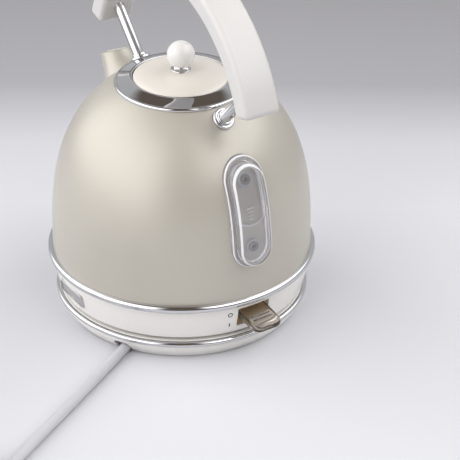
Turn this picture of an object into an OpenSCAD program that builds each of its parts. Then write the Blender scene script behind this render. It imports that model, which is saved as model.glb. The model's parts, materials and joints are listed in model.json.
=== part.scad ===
// Dome kettle with an arched handle, standing on its corded power base.
// Millimetres. The origin is on the kettle's axis at the table, +Z is up,
// +X is the side of the water gauge and the switch, -X is the spout.

/* [Power base] */
// Radius of the power base at the table
base_foot_r = 82; // [77:0.5:84]
// Radius of the power base under its trim ring
base_r = 88; // [86:0.5:91]
// Height of the deck that the kettle stands on
base_h = 15.7; // [14.5:0.1:19]
// Wall of the base moulding
base_wall = 2.4; // [1.8:0.1:3]
// Height of the base's trim ring
base_ring_h = 4; // [3:0.2:5]
// How far the base's trim ring stands out from the moulding
base_ring_out = 2; // [1:0.2:3]
// Height of the anti-slip ring under the base
foot_h = 2; // [1.6:0.1:2.6]
// Middle radius of the anti-slip ring
foot_r = 70; // [64:0.5:72]

/* [Connector] */
// Radius of the connector tower on the base
tower_r = 17.5; // [16:0.5:20]
// Height of the tower above the deck
tower_h = 13.8; // [12:0.2:16]
// Inner radius of the tower's contact groove
groove_r = 8.5; // [7.5:0.5:9]
// Width of the contact groove
groove_w = 4.5; // [4:0.1:5]
// Depth of the contact groove
groove_depth = 11.5; // [10:0.5:12]
// Radius of the earth pin
earth_pin_r = 2.2; // [1.8:0.1:2.6]

/* [Housing] */
// Radius of the housing band at its lower edge
housing_low_r = 87.2; // [86:0.2:89]
// Height of the housing band
housing_h = 22.9; // [21:0.1:27]
// Wall of the housing band
housing_wall = 2.5; // [2:0.1:3]
// How far the floor plate stands below the housing band
plinth_h = 2.6; // [2.2:0.1:4]
// Height of the upper trim ring
ring_h = 5.7; // [5:0.1:7]
// How far the upper trim ring stands out from the dome
ring_out = 3.6; // [3:0.1:4.6]

/* [Dome] */
// Radius of the dome at its foot
dome_foot_r = 91.4; // [90:0.2:94]
// Height of the full dome curve above the trim ring
dome_curve_h = 134; // [128:1:142]
// Fullness of the dome curve's shoulder
dome_power = 2.9; // [2.6:0.05:3.2]
// Wall of the steel dome
dome_wall = 1.2; // [0.8:0.1:1.6]
// Radius of the hole in the dome's crown
crown_r = 43.5; // [42:0.5:46]

/* [Lid] */
// Radius of the filling neck
neck_r = 33.4; // [31:0.2:34.4]
// Depth of the filling neck below its rim
neck_depth = 14.3; // [13:0.1:15]
// Height of the collar's rim above the dome's crown
collar_rise = 4.7; // [4:0.1:6]
// Gap between the lid and the neck
lid_gap = 0.5; // [0.4:0.1:0.8]
// Height of the lid's painted cap above the collar's rim
lid_rise = 4.4; // [3:0.2:6]
// Radius of the knob's ball
knob_r = 9.6; // [8:0.2:10.5]
// Height of the knob above the lid's cap
knob_h = 20.6; // [18:0.2:21]

/* [Handle] */
// Radius of the handle's centre line
handle_arc_r = 99; // [96:0.5:102]
// Height of the centre of the handle's arc
handle_arc_z = 156; // [153:0.5:160]
// Angle of the handle's ends above the horizontal
handle_end = 16.5; // [13:0.5:19]
// Width of the handle across the kettle
handle_w = 27; // [24:0.5:32]
// Thickness of the handle
handle_t = 14.5; // [13:0.5:17]
// Radius of the handle's edges
handle_edge = 3.5; // [2.5:0.5:5]
// Distance of each handle stud's foot from the axis
stud_foot_x = 53; // [52:0.5:56]
// Radius of the handle's studs
stud_r = 4; // [3:0.2:5]
// Radius of the flange at each stud's foot
stud_flange_r = 7.6; // [6:0.2:8.4]

/* [Water gauge] */
// Height of the gauge's middle above the table
gauge_z = 108; // [104:0.5:112]
// Overall length of the gauge
gauge_len = 75; // [68:0.5:80]
// Overall width of the gauge
gauge_w = 30.5; // [26:0.5:32]
// How far the gauge stands out from the dome
gauge_out = 7.6; // [6:0.2:9]
// Wall of the gauge's window
gauge_wall = 1.8; // [1.4:0.1:2.2]
// Distance between the two water holes behind the gauge
gauge_hole_gap = 45; // [40:0.5:48]

/* [Switch] */
// Width of the switch's slot
slot_w = 25.5; // [22:0.5:28]
// Height of the switch's slot
slot_h = 15; // [13:0.5:15]
// Turn of the switch round the kettle, towards its left
slot_az = 1.5; // [-3:0.5:4]
// Width of the switch's lever
lever_w = 22.5; // [18:0.5:24]
// Thickness of the lever
lever_t = 5.4; // [4.6:0.2:5.8]
// How far the lever stands out from the housing
lever_out = 20; // [16:0.5:22]
// Slope of the lever when the kettle is off
lever_slope = 8; // [6:0.5:12]

/* [Spout] */
// Radius of the spout's mouth
spout_mouth_r = 11; // [9:0.5:12]
// How far the pouring lip runs out from the mouth's round part
spout_lip = 7; // [4:0.5:9]
// Distance of the spout's mouth from the axis
spout_mouth_x = 90; // [88:0.5:93]
// Height of the spout's mouth above the table
spout_mouth_z = 157; // [154:0.5:159]
// Wall of the spout
spout_wall = 1.6; // [1.2:0.1:2]

/* [Mains cord] */
// Radius of the mains cord
cord_r = 3.5; // [3:0.1:3.7]
// Radius of the plug's face
plug_r = 18.5; // [17:0.5:20]
// Radius of the plug's pins
plug_pin_r = 2.4; // [2:0.1:2.5]
// Distance between the plug's pins
plug_pin_gap = 19; // [17:0.5:20]
// Length of the plug's pins
plug_pin_len = 19; // [17:0.5:21]

/* [Hidden] */
$fn = 96;

// Clearances
seat_gap = 0.3;
press_gap = 0.05;
pin_gap = 0.08;

// Power base
trim_seat = 1.2;
rim_z = 0.6;
cover_z = 1;
cover_t = 2;
deck_t = 2.4;
base_ring_z = base_h - base_ring_h - 0.2;
seat_r = base_r - trim_seat;
cover_r = min(base_foot_r, seat_r) - base_wall - seat_gap;
foot_w = 8;
base_screw_r = 58;
screw_r = 1.5;
screw_head_r = 3.2;
screw_head_t = 1.2;
screw_boss_r = 4.2;

// Connector
tower_top = base_h + tower_h;
contact_t = 0.6;
contact_gap = 0.4;
tower_flange_r = tower_r + 4;
tower_flange_t = 2.5;
earth_bore_r = earth_pin_r + contact_gap + contact_t;
socket_gap = 1.1;
socket_wall = 2.6;
socket_r = tower_r + socket_gap + socket_wall;
socket_top = tower_top + 4;

// Housing and floor
floor_z = base_h + seat_gap;
housing_z = floor_z + plinth_h;
ring_z = housing_z + housing_h;
dome_z = ring_z + ring_h;
housing_top_r = dome_foot_r + 0.1;
floor_r = housing_low_r - 2.6;
lip_w = 8;
lip_t = 2.5;
floor_screw_x = floor_r - 4.6;
floor_screw_count = 3;
plate_t = 1.5;
plate_drop = 1.2;
plate_z = dome_z - plate_drop;
spreader_t = 1.6;
control_r = socket_r + seat_gap + 4;
control_lug_out = 8;
control_lug_w = 22;
control_lug_t = 5;
element_r = 50;
element_tube_r = 3.5;
steam_tube_r = 3;
steam_tube_wall = 0.6;
steam_tube_x = 60;
steam_tube_h = 98;

// Crown, collar and lid
crown_z = crown_height(crown_r, 0);
rim_height = crown_z + collar_rise;
neck_wall = 1.3;
ledge_w = 2.2;
ledge_t = 1.2;
neck_floor = rim_height - neck_depth;
lid_r = neck_r - lid_gap;
lid_seat = neck_floor + ledge_t + seat_gap;
cap_edge = rim_height - 1.2;
cap_top = rim_height + lid_rise;
knob_collar_r = 7;
knob_collar_h = 3;

// Handle
handle_inner = handle_arc_r - handle_t / 2;
stud_angle = 45;
stud_foot_z = crown_height(stud_foot_x, 0);
stud_flange_t = 3;
bolt_r = 2.5;
nut_r = 4.6;
nut_h = 3;
nut_low = dome_wall + nut_h + 1;
bolt_end = nut_low + 1;
nut_drop = (nut_low + nut_r) * sin(stud_angle);

// Gauge
gauge_flange_t = 2.2;
gauge_flange_w = 2.6;
bushing_r = 2.6;
bushing_head_r = 3.6;
seal_t = 0.8;

// Switch
slot_z = housing_z + housing_h / 2 + 1.1;
housing_mid_r = housing_radius(slot_z);
pivot_x = housing_mid_r - 10;
pivot_z = slot_z + 2.6;
lever_boss_r = 3.6;
switch_pin_r = 1.5;
bracket_wall = 1.5;

// Spout and filter
spout_tilt = 25;
spout_root_tilt = 62;
spout_root_r = 24;
spout_root_x = dome_foot_r - 36.4;
spout_root_z = 124;
filter_w = 46;
filter_h = 40;
filter_z = stud_foot_z - nut_drop - 1.2 - filter_h / 2;
filter_bar = 2.6;
filter_t = 2.2;
filter_skin = dome_wall + seat_gap;

// Cord: its notch in the base, and hand-chosen points from the gland to the coil and from
// the coil to the plug
notch_az = -60.2;
notch_w = 12;
notch_top = 8.6;
gland_r = cover_r + 0.1;
gland_w = 14;
gland_len = gland_r - foot_r - foot_w / 2 - 0.4;
coil_r = 35;
coil_centre = [113, -253];
coil_z = 0.9;
coil_layers = 3;
coil_h = coil_layers * (2 * cord_r + 0.2) - 0.2;
cord_points = [
    [41.4, -67.9, 4], [46.9, -76.8, 4], [57.3, -93.9, 3.7], [78.2, -128, 3.7],
    [104, -170.6, 3.7], [124.6, -204.6, 3.7], [137, -225.1, 4.1], [142.9, -234.8, 4.4]
];
tail_points = [
    [96.3, -283.7, 18.8], [85.7, -278, 17.2], [75.2, -272.2, 13.2], [65.5, -266.9, 10.4],
    [55.9, -261.7, 11.4], [46.2, -256.4, 15.6], [38.3, -252.1, 18.2], [33, -249.2, 18.5]
];
tail_az = 151.4;
plug_relief = 22;
plug_len = 34;
plug_root = [33, -249.2];

function unit(v) = v / norm(v);
function dome_step(i, n) = 90 * i / n;

// Radius of the dome's outer surface, or of one set off from it, at a given height
function dome_radius(z, grow) =
    let (h = max(0, (z - dome_z) / (dome_curve_h + grow)))
    (dome_foot_r + grow) * sqrt(max(0, 1 - pow(h, dome_power)));

// Height of the same surface at a given radius
function crown_height(r, grow) =
    dome_z + (dome_curve_h + grow) * pow(1 - pow(r / (dome_foot_r + grow), 2), 1 / dome_power);

// Outer radius of the housing band, slightly bowed between its two edges
function housing_radius(z) =
    let (t = (z - housing_z) / housing_h)
    housing_low_r + (housing_top_r - housing_low_r) * t + 0.5 * sin(180 * t);

// Points of a Catmull-Rom curve through a cord's route
function route_point(p, i, t) =
    let (a = p[max(i - 1, 0)], b = p[i], c = p[i + 1], d = p[min(i + 2, len(p) - 1)])
    0.5 * (2 * b + (c - a) * t + (2 * a - 5 * b + 4 * c - d) * t * t
        + (3 * b - a - 3 * c + d) * t * t * t);
function route(p, n) =
    [for (i = [0 : len(p) - 2], j = [0 : n - 1]) route_point(p, i, j / n), p[len(p) - 1]];

// Rectangle about the origin with rounded corners
module rounded_rect(w, h, r) {
    square([w - 2 * r, h], center = true);
    square([w, h - 2 * r], center = true);
    for (x = [-1, 1], y = [-1, 1])
        translate([x * (w / 2 - r), y * (h / 2 - r)]) circle(r);
}

// Upright stadium about the origin
module stadium(w, h) rounded_rect(w, h, w / 2 - 0.01);

module ring(r_out, r_in, h) {
    difference() {
        cylinder(r = r_out, h = h);
        translate([0, 0, -1]) cylinder(r = r_in, h = h + 2);
    }
}

// Half-round bead around the axis: flat inside, full radius outside
module bead(r_in, r_out, h) {
    rotate_extrude() {
        translate([r_in, 0]) square([r_out - h / 2 - r_in, h]);
        intersection() {
            translate([r_out - h / 2, h / 2]) circle(h / 2);
            translate([r_in, 0]) square([r_out, h]);
        }
    }
}

// Half outline of the dome, set off outwards by grow, from the foot to the axis
module dome_half(grow) {
    steps = 36;
    polygon([
        [0, ring_z],
        [dome_foot_r + grow, ring_z],
        for (i = [0 : steps])
            [(dome_foot_r + grow) * cos(dome_step(i, steps)),
                dome_z + (dome_curve_h + grow) * pow(sin(dome_step(i, steps)), 2 / dome_power)]
    ]);
}

module dome_solid(grow) rotate_extrude($fn = 144) dome_half(grow);

// Solid of the housing band's outer surface, set off outwards by grow
module housing_solid(grow) {
    steps = 8;
    rotate_extrude($fn = 144)
        polygon([
            [0, housing_z],
            for (i = [0 : steps])
                let (z = housing_z + housing_h * i / steps) [housing_radius(z) + grow, z],
            [0, ring_z]
        ]);
}

// Opening in the base's flank that the cord lies in, open at the bottom and round at the top
module cord_notch(low_r, high_r, w) {
    corner = 3;
    rotate([0, 0, notch_az]) translate([low_r, 0, 0]) rotate([90, 0, 90]) linear_extrude(high_r - low_r) {
        translate([-w / 2, -1]) square([w, notch_top + 1 - corner]);
        translate([-w / 2 + corner, -1]) square([w - 2 * corner, notch_top + 1]);
        for (side = [-1, 1]) translate([side * (w / 2 - corner), notch_top - corner]) circle(corner, $fn = 48);
    }
}

// Prism of a gauge outline, running out through the dome towards +X
module gauge_prism(inset) {
    translate([0, 0, gauge_z])
        rotate([90, 0, 90])
            linear_extrude(dome_foot_r + 2 * gauge_out)
                stadium(gauge_w - 2 * inset, gauge_len - 2 * inset);
}

// Places a child at both water holes of the gauge, its +Z along the hole
module at_gauge_holes() {
    for (side = [-1, 1]) {
        z = gauge_z + side * gauge_hole_gap / 2;
        tilt = atan2(dome_radius(z - 1, 0) - dome_radius(z + 1, 0), 2);
        translate([dome_radius(z, 0), 0, z]) rotate([0, 90 - tilt, 0]) children();
    }
}

// Places a child at a stud's foot, its +Z along the stud
module at_stud() translate([stud_foot_x, 0, stud_foot_z]) rotate([0, stud_angle, 0]) children();

module tube_along(points, r, sides) {
    n = len(points);
    rings = [
        for (i = [0 : n - 1])
            let (
                along = unit(points[min(i + 1, n - 1)] - points[max(i - 1, 0)]),
                side = unit(cross(along, [0, 0, 1])),
                up = cross(side, along)
            )
            for (k = [0 : sides - 1])
                points[i] + r * (cos(360 * k / sides) * side + sin(360 * k / sides) * up)
    ];
    walls = [
        for (i = [0 : n - 2], k = [0 : sides - 1])
            let (next = (k + 1) % sides)
            [i * sides + k, i * sides + next, (i + 1) * sides + next, (i + 1) * sides + k]
    ];
    polyhedron(rings, concat(
        [[for (k = [sides - 1 : -1 : 0]) k]],
        walls,
        [[for (k = [0 : sides - 1]) (n - 1) * sides + k]]
    ));
}

/* Power base */

// Height along the base's flank as a share of it, turned into its radius
function flank_radius(t) = base_foot_r + (base_r - base_foot_r) * sin(90 * t);

module base_screw_places() {
    for (a = [45 : 90 : 315])
        rotate([0, 0, a]) translate([base_screw_r, 0, 0]) children();
}

module base_shell() {
    steps = 8;
    flank_h = base_ring_z - rim_z;
    color("linen") difference() {
        union() {
            rotate_extrude($fn = 144)
                polygon([
                    for (i = [0 : steps]) [flank_radius(i / steps), rim_z + flank_h * i / steps],
                    [seat_r, base_ring_z],
                    [seat_r, base_h - 0.8],
                    [seat_r - 0.8, base_h],
                    [0, base_h],
                    [0, base_h - deck_t],
                    [seat_r - base_wall, base_h - deck_t],
                    for (i = [steps : -1 : 0])
                        [min(flank_radius(i / steps), seat_r) - base_wall, rim_z + flank_h * i / steps]
                ]);
            base_screw_places()
                translate([0, 0, cover_z + cover_t])
                    cylinder(r = screw_boss_r, h = base_h - deck_t - cover_z - cover_t);
        }
        translate([0, 0, base_h - deck_t - 1]) cylinder(r = tower_r + seat_gap, h = deck_t + 2);
        base_screw_places() translate([0, 0, cover_z]) cylinder(r = screw_r + press_gap, h = base_h - deck_t - cover_z - 1);
        cord_notch(gland_r - gland_len, 2 * base_r, notch_w);
    }
}

module base_trim_ring() {
    color("silver") translate([0, 0, base_ring_z])
        bead(base_r - trim_seat + press_gap, base_r + base_ring_out, base_ring_h, $fn = 144);
}

module base_cover() {
    color("gainsboro") difference() {
        translate([0, 0, cover_z]) cylinder(r = cover_r, h = cover_t);
        translate([0, 0, cover_z - 1])
            ring(foot_r + foot_w / 2 + press_gap, foot_r - foot_w / 2 - press_gap, cover_t / 2 + 1);
        base_screw_places() {
            translate([0, 0, cover_z - 1]) cylinder(r = screw_head_r + 0.3, h = 1 + screw_head_t);
            cylinder(r = screw_r + 0.2, h = base_h);
        }
        cord_notch(gland_r - gland_len - press_gap, 2 * base_r, gland_w + 2 * press_gap);
        for (a = [0 : 60 : 300])
            rotate([0, 0, a]) translate([tower_flange_r + 12, 0, 0]) cylinder(r = 2.2, h = base_h);
    }
}

module base_foot_ring() {
    color("dimgray") ring(foot_r + foot_w / 2, foot_r - foot_w / 2, foot_h - 1 + cover_z);
}

module base_screws() {
    color("silver") base_screw_places() difference() {
        union() {
            translate([0, 0, cover_z]) cylinder(r = screw_head_r, h = screw_head_t);
            translate([0, 0, cover_z]) cylinder(r = screw_r, h = base_h - deck_t - cover_z - 1.5);
        }
        for (a = [0, 90]) rotate([0, 0, a]) translate([-2, -0.35, cover_z - 1]) cube([4, 0.7, 1.6]);
    }
}

module base_connector() {
    color("whitesmoke") difference() {
        union() {
            rotate_extrude()
                polygon([
                    [0, cover_z + cover_t], [tower_r, cover_z + cover_t],
                    [tower_r, tower_top - 2], [tower_r - 0.6, tower_top - 0.6],
                    [tower_r - 2, tower_top], [0, tower_top]
                ]);
            translate([0, 0, base_h - deck_t - tower_flange_t])
                cylinder(r = tower_flange_r, h = tower_flange_t);
        }
        translate([0, 0, tower_top - groove_depth])
            ring(groove_r + groove_w, groove_r, groove_depth + 1);
        translate([0, 0, tower_top - groove_depth - 2])
            cylinder(r = earth_bore_r + press_gap, h = groove_depth + 3);
    }
}

module connector_contacts() {
    low = tower_top - groove_depth + press_gap;
    contact_h = groove_depth - 5;
    color("goldenrod") {
        translate([0, 0, low])
            ring(groove_r + groove_w - press_gap, groove_r + groove_w - contact_t, contact_h);
        translate([0, 0, low]) ring(groove_r + contact_t, groove_r + press_gap, contact_h);
        translate([0, 0, low - 1.5]) ring(earth_bore_r, earth_bore_r - contact_t, contact_h);
    }
}

// Block that clamps the cord behind its notch
module cord_gland() {
    color("gainsboro") intersection() {
        cord_notch(gland_r - gland_len, 2 * base_r, gland_w);
        translate([0, 0, cover_z]) cylinder(r = gland_r, h = base_h);
    }
}

/* Mains cord */

module mains_cord() color("lightgray") tube_along(route(cord_points, 3), cord_r, 10);

module mains_cord_tail() color("lightgray") tube_along(route(tail_points, 2), cord_r, 10);

module mains_cord_coil() {
    color("lightgray") translate([coil_centre.x, coil_centre.y, coil_z])
        rotate_extrude()
            translate([coil_r, coil_h / 2]) rounded_rect(2 * cord_r, coil_h, cord_r - 0.1);
}

module cord_tie() {
    wrap_w = 2 * cord_r + 2;
    wrap_h = coil_h + 1.4;
    color("dimgray") translate([coil_centre.x, coil_centre.y, coil_z + coil_h / 2])
        rotate([0, 0, -45]) translate([coil_r, 0, 0]) rotate([90, 0, 0])
            linear_extrude(5, center = true) difference() {
                rounded_rect(wrap_w, wrap_h, cord_r);
                rounded_rect(wrap_w - 1.2, wrap_h - 1.2, cord_r - 0.4);
            }
}

// Places a child at the plug's rear end, its +Z towards the pins
module at_plug() translate([plug_root.x, plug_root.y, plug_r]) rotate([0, 0, tail_az]) rotate([0, 90, 0]) children();

module plug_body() {
    face = plug_relief + plug_len;
    color("gainsboro") at_plug() difference() {
        rotate_extrude()
            polygon([
                [0, 0], [cord_r + 1.6, 0], [cord_r + 2.6, plug_relief - 2], [cord_r + 5, plug_relief],
                [plug_r - 6, plug_relief + 5], [plug_r - 1.6, plug_relief + 14], [plug_r, plug_relief + 18],
                [plug_r, face - 1], [plug_r - 1, face], [0, face]
            ]);
        for (side = [-1, 1]) {
            translate([side * (plug_r - 1), -3, face - 14]) cube([4, 6, 16], center = false);
            translate([0, side * plug_pin_gap / 2, face - 5]) cylinder(r = plug_pin_r - 0.2 + press_gap, h = 6);
        }
        translate([7, 0, face - 12]) cylinder(r = plug_pin_r, h = 13);
    }
}

module plug_pins() {
    face = plug_relief + plug_len;
    color("silver") at_plug() for (side = [-1, 1])
        translate([0, side * plug_pin_gap / 2, face]) {
            translate([0, 0, -5]) cylinder(r = plug_pin_r - 0.2, h = 6);
            cylinder(r = plug_pin_r, h = plug_pin_len - plug_pin_r / 2);
            cylinder(r = plug_pin_r / 2, h = plug_pin_len);
        }
}

/* Socket under the kettle, round like the tower so that the kettle turns freely on it */

module socket_ring() {
    roof_t = 2.5;
    color("darkgray") {
        translate([0, 0, floor_z + 0.2]) ring(socket_r, tower_r + socket_gap, socket_top - floor_z - 0.2);
        translate([0, 0, tower_top - groove_depth + 1.5])
            ring(groove_r + groove_w - contact_t - contact_gap, groove_r + contact_t + contact_gap,
                socket_top - tower_top + groove_depth - 1.5);
        translate([0, 0, socket_top - roof_t]) ring(socket_r, earth_pin_r + press_gap, roof_t);
    }
}

module socket_pin() {
    color("goldenrod") {
        translate([0, 0, tower_top - groove_depth + 1]) cylinder(r = earth_pin_r, h = socket_top - tower_top + groove_depth - 1);
        translate([0, 0, tower_top - groove_depth + 1 - earth_pin_r / 2]) cylinder(r1 = earth_pin_r / 2, r2 = earth_pin_r, h = earth_pin_r / 2);
    }
}

/* Housing below the dome */

module floor_screw_places() {
    for (i = [0 : floor_screw_count - 1])
        rotate([0, 0, 60 + 360 * i / floor_screw_count]) translate([floor_screw_x, 0, 0]) children();
}

module housing_floor() {
    color("gainsboro") difference() {
        rotate_extrude($fn = 144)
            polygon([
                [0, floor_z], [floor_r - 1.2, floor_z], [floor_r, floor_z + 1.2],
                [floor_r, housing_z], [0, housing_z]
            ]);
        translate([0, 0, floor_z - 1]) cylinder(r = socket_r + seat_gap, h = plinth_h + 2);
        floor_screw_places() {
            translate([0, 0, floor_z - 1]) cylinder(r = screw_head_r + 0.3, h = 1 + screw_head_t + 0.2);
            translate([0, 0, floor_z - 1]) cylinder(r = screw_r + 0.2, h = plinth_h + 2);
        }
    }
}

module floor_screws() {
    color("silver") floor_screw_places() difference() {
        translate([0, 0, floor_z + 0.2]) {
            cylinder(r = screw_head_r, h = screw_head_t);
            cylinder(r = screw_r, h = plinth_h + 7);
        }
        for (a = [0, 90]) rotate([0, 0, a]) translate([-2, -0.35, floor_z - 1]) cube([4, 0.7, 1.8]);
    }
}

module bottom_housing() {
    steps = 8;
    wall_low = housing_z + lip_t;
    wall_high = ring_z - lip_t;
    boss_h = 9;
    color("ivory") difference() {
        union() {
            rotate_extrude($fn = 144)
                polygon([
                    [housing_low_r - lip_w, housing_z],
                    for (i = [0 : steps])
                        let (z = housing_z + housing_h * i / steps) [housing_radius(z), z],
                    [housing_top_r - lip_w, ring_z],
                    [housing_top_r - lip_w, wall_high],
                    for (i = [steps : -1 : 0])
                        let (z = wall_low + (wall_high - wall_low) * i / steps)
                        [housing_radius(z) - housing_wall, z],
                    [housing_low_r - lip_w, wall_low]
                ]);
            floor_screw_places() translate([0, 0, housing_z + lip_t / 2]) cylinder(r = screw_boss_r, h = boss_h);
        }
        floor_screw_places() translate([0, 0, housing_z - 1]) cylinder(r = screw_r + press_gap, h = boss_h);
        rotate([0, 0, slot_az]) translate([housing_mid_r, 0, slot_z]) rotate([90, 0, 90])
            linear_extrude(2 * lip_w, center = true) rounded_rect(slot_w, slot_h, 1);
    }
}

module badge_plate() {
    plate_w = 30;
    plate_h = 11;
    color("silver") intersection() {
        difference() {
            housing_solid(1.4);
            housing_solid(press_gap);
        }
        translate([0, 0, housing_z + housing_h / 2 - 0.6]) rotate([90, 0, 0]) linear_extrude(2 * dome_foot_r)
            rounded_rect(plate_w, plate_h, 2.5);
    }
}

module upper_trim_ring() {
    color("silver") translate([0, 0, ring_z])
        bead(dome_foot_r + press_gap, dome_foot_r + ring_out, ring_h, $fn = 144);
}

module heating_plate() {
    plate_r = dome_foot_r - dome_wall - press_gap;
    color("lightslategray") translate([0, 0, ring_z]) difference() {
        cylinder(r = plate_r, h = plate_z - ring_z, $fn = 144);
        translate([0, 0, -1]) cylinder(r = plate_r - plate_t, h = plate_z - ring_z - plate_t + 1, $fn = 144);
    }
}

module heating_element() {
    under = plate_z - plate_t;
    color("dimgray") {
        translate([0, 0, under - spreader_t]) cylinder(r = element_r + 10, h = spreader_t);
        translate([0, 0, under - spreader_t - element_tube_r + 0.6]) rotate([0, 0, 30])
            rotate_extrude(angle = 300) translate([element_r, 0]) circle(element_tube_r, $fn = 32);
    }
}

// Thermostat block, hung under the heating plate just above the socket's roof
module control_unit() {
    low = socket_top + seat_gap;
    color("whitesmoke") {
        translate([0, 0, low]) cylinder(r = control_r, h = plate_z - plate_t - spreader_t - low);
        translate([0, 0, low]) linear_extrude(control_lug_t)
            rounded_rect(2 * (control_r + control_lug_out), control_lug_w, 3);
    }
}

module steam_tube() {
    color("silver") rotate([0, 0, 24]) translate([steam_tube_x, 0, plate_z])
        ring(steam_tube_r, steam_tube_r - steam_tube_wall, steam_tube_h);
}

/* Dome */

// Tapered body of the spout, from inside the dome to its mouth with the pouring lip
module spout_body(grow, over) {
    hull() {
        translate([-spout_mouth_x, 0, spout_mouth_z]) rotate([0, -spout_tilt, 0])
            translate([0, 0, -1]) {
                cylinder(r = spout_mouth_r + grow, h = 1 + over, $fn = 48);
                translate([-spout_mouth_r + 4 - spout_lip, 0, 0])
                    cylinder(r = 4 + grow, h = 1 + over, $fn = 24);
            }
        translate([-spout_root_x, 0, spout_root_z]) rotate([0, -spout_root_tilt, 0])
            cylinder(r = spout_root_r + grow, h = 1, $fn = 48);
    }
}

module dome_shell() {
    color("wheat") difference() {
        rotate_extrude($fn = 144) difference() {
            dome_half(0);
            dome_half(-dome_wall);
            square([dome_foot_r - dome_wall, dome_z]);
            square([crown_r, 2 * dome_curve_h]);
        }
        at_gauge_holes() cylinder(r = bushing_r + press_gap, h = 8, center = true);
        for (side = [0, 180]) rotate([0, 0, side]) at_stud()
            cylinder(r = bolt_r + press_gap, h = 16, center = true);
        spout_body(-spout_wall, 3);
    }
}

module spout() {
    color("wheat") difference() {
        spout_body(0, 0);
        spout_body(-spout_wall, 3);
        dome_solid(press_gap);
    }
}

module lid_collar() {
    bead_r = 1.6;
    sag = 0.9;
    steps = 8;
    outer = [crown_r + 1, crown_z + 1.2];
    inner = [neck_r + neck_wall, rim_height];
    color("silver") rotate_extrude($fn = 144) difference() {
        union() {
            polygon([
                [neck_r, neck_floor], [neck_r + neck_wall, neck_floor],
                [neck_r + neck_wall, crown_z - 1.4], [crown_r - 0.2, crown_z - 1.4],
                [crown_r - 0.2, crown_z],
                for (i = [0 : steps])
                    let (t = i / steps)
                    [outer.x + (inner.x - outer.x) * t, outer.y + (inner.y - outer.y) * t - sag * sin(180 * t)],
                [neck_r, rim_height]
            ]);
            translate([crown_r + 0.7, crown_z]) circle(bead_r, $fn = 32);
            translate([neck_r - ledge_w, neck_floor]) square([ledge_w + 0.2, ledge_t]);
        }
        difference() {
            dome_half(press_gap);
            square([crown_r - press_gap, 2 * dome_curve_h]);
        }
    }
}

/* Water gauge */

module gauge_window() {
    color("lightblue", 0.5) difference() {
        union() {
            intersection() {
                gauge_prism(0);
                dome_solid(gauge_flange_t);
            }
            intersection() {
                gauge_prism(gauge_flange_w);
                dome_solid(gauge_out);
            }
        }
        intersection() {
            gauge_prism(gauge_flange_w + gauge_wall);
            dome_solid(gauge_out - gauge_wall);
        }
        dome_solid(press_gap);
    }
}

module gauge_seals() {
    color("lightsteelblue") at_gauge_holes() translate([0, 0, 0.3]) ring(bushing_head_r + 1.8, bushing_r + press_gap, seal_t);
}

module gauge_bushings() {
    color("dimgray") at_gauge_holes() {
        translate([0, 0, -dome_wall - 1.2]) ring(bushing_r, bushing_r - 0.9, dome_wall + seal_t + 1.6);
        translate([0, 0, 0.3 + seal_t]) ring(bushing_head_r, bushing_r - 0.9, 0.8);
        translate([0, 0, -dome_wall - 2]) ring(bushing_head_r, bushing_r - 0.9, 1);
    }
}

/* Handle */

// Rounded end of the handle, beyond the plane of the arc's end
module handle_end_cap() {
    x = handle_t / 2 - handle_edge;
    y = handle_w / 2 - handle_edge;
    for (sx = [-1, 1], sy = [-1, 1]) translate([sx * x, sy * y, 0]) sphere(handle_edge, $fn = 48);
    for (sx = [-1, 1]) translate([sx * x, -y, 0]) rotate([-90, 0, 0]) cylinder(r = handle_edge, h = 2 * y, $fn = 48);
    for (sy = [-1, 1]) translate([-x, sy * y, 0]) rotate([0, 90, 0]) cylinder(r = handle_edge, h = 2 * x, $fn = 48);
    translate([-x, -y, -handle_edge]) cube([2 * x, 2 * y, 2 * handle_edge]);
}

module handle() {
    cap_angle = handle_edge / handle_arc_r * 57.3;
    start = handle_end + cap_angle;
    sweep = 180 - 2 * start;
    color("white") difference() {
        translate([0, 0, handle_arc_z]) union() {
            rotate([90, 0, 0]) rotate([0, 0, start]) rotate_extrude(angle = sweep, $fn = 144)
                translate([handle_arc_r, 0]) rounded_rect(handle_t, handle_w, handle_edge);
            for (side = [0, 180]) rotate([0, 0, side])
                rotate([0, -start, 0]) translate([handle_arc_r, 0, 0]) handle_end_cap();
        }
        for (side = [0, 180]) rotate([0, 0, side]) at_stud()
            cylinder(r = stud_r + press_gap, h = stud_reach());
    }
}

// Length of a stud from the dome to its seat inside the handle
function stud_reach() =
    let (
        c = cos(stud_angle), s = sin(stud_angle),
        dz = stud_foot_z - handle_arc_z,
        half = stud_foot_x * s + dz * c
    )
    sqrt(half * half - stud_foot_x * stud_foot_x - dz * dz + handle_inner * handle_inner) - half + 6;

module handle_stud() {
    color("silver") {
        difference() {
            at_stud() {
                translate([0, 0, -4]) cylinder(r = stud_flange_r, h = 4 + stud_flange_t - 0.8);
                translate([0, 0, stud_flange_t - 0.8]) cylinder(r1 = stud_flange_r, r2 = stud_flange_r - 0.8, h = 0.8);
                cylinder(r = stud_r + 1.4, h = stud_flange_t + 2.4);
                cylinder(r = stud_r, h = stud_reach() - press_gap);
            }
            dome_solid(press_gap);
        }
        at_stud() translate([0, 0, -bolt_end]) cylinder(r = bolt_r, h = bolt_end + stud_flange_t);
    }
}

module handle_stud_rear() handle_stud();

module handle_stud_front() rotate([0, 0, 180]) handle_stud();

module stud_nuts() {
    color("silver") for (side = [0, 180]) rotate([0, 0, side]) intersection() {
        at_stud() translate([0, 0, -nut_low]) difference() {
            cylinder(r = nut_r, h = nut_low, $fn = 6);
            translate([0, 0, -1]) cylinder(r = bolt_r + press_gap, h = nut_low + 2);
        }
        dome_solid(-dome_wall - press_gap);
    }
}

/* Switch */

// Places a child at the lever's pivot
module at_pivot() rotate([0, 0, slot_az]) translate([pivot_x, 0, pivot_z]) children();

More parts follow.
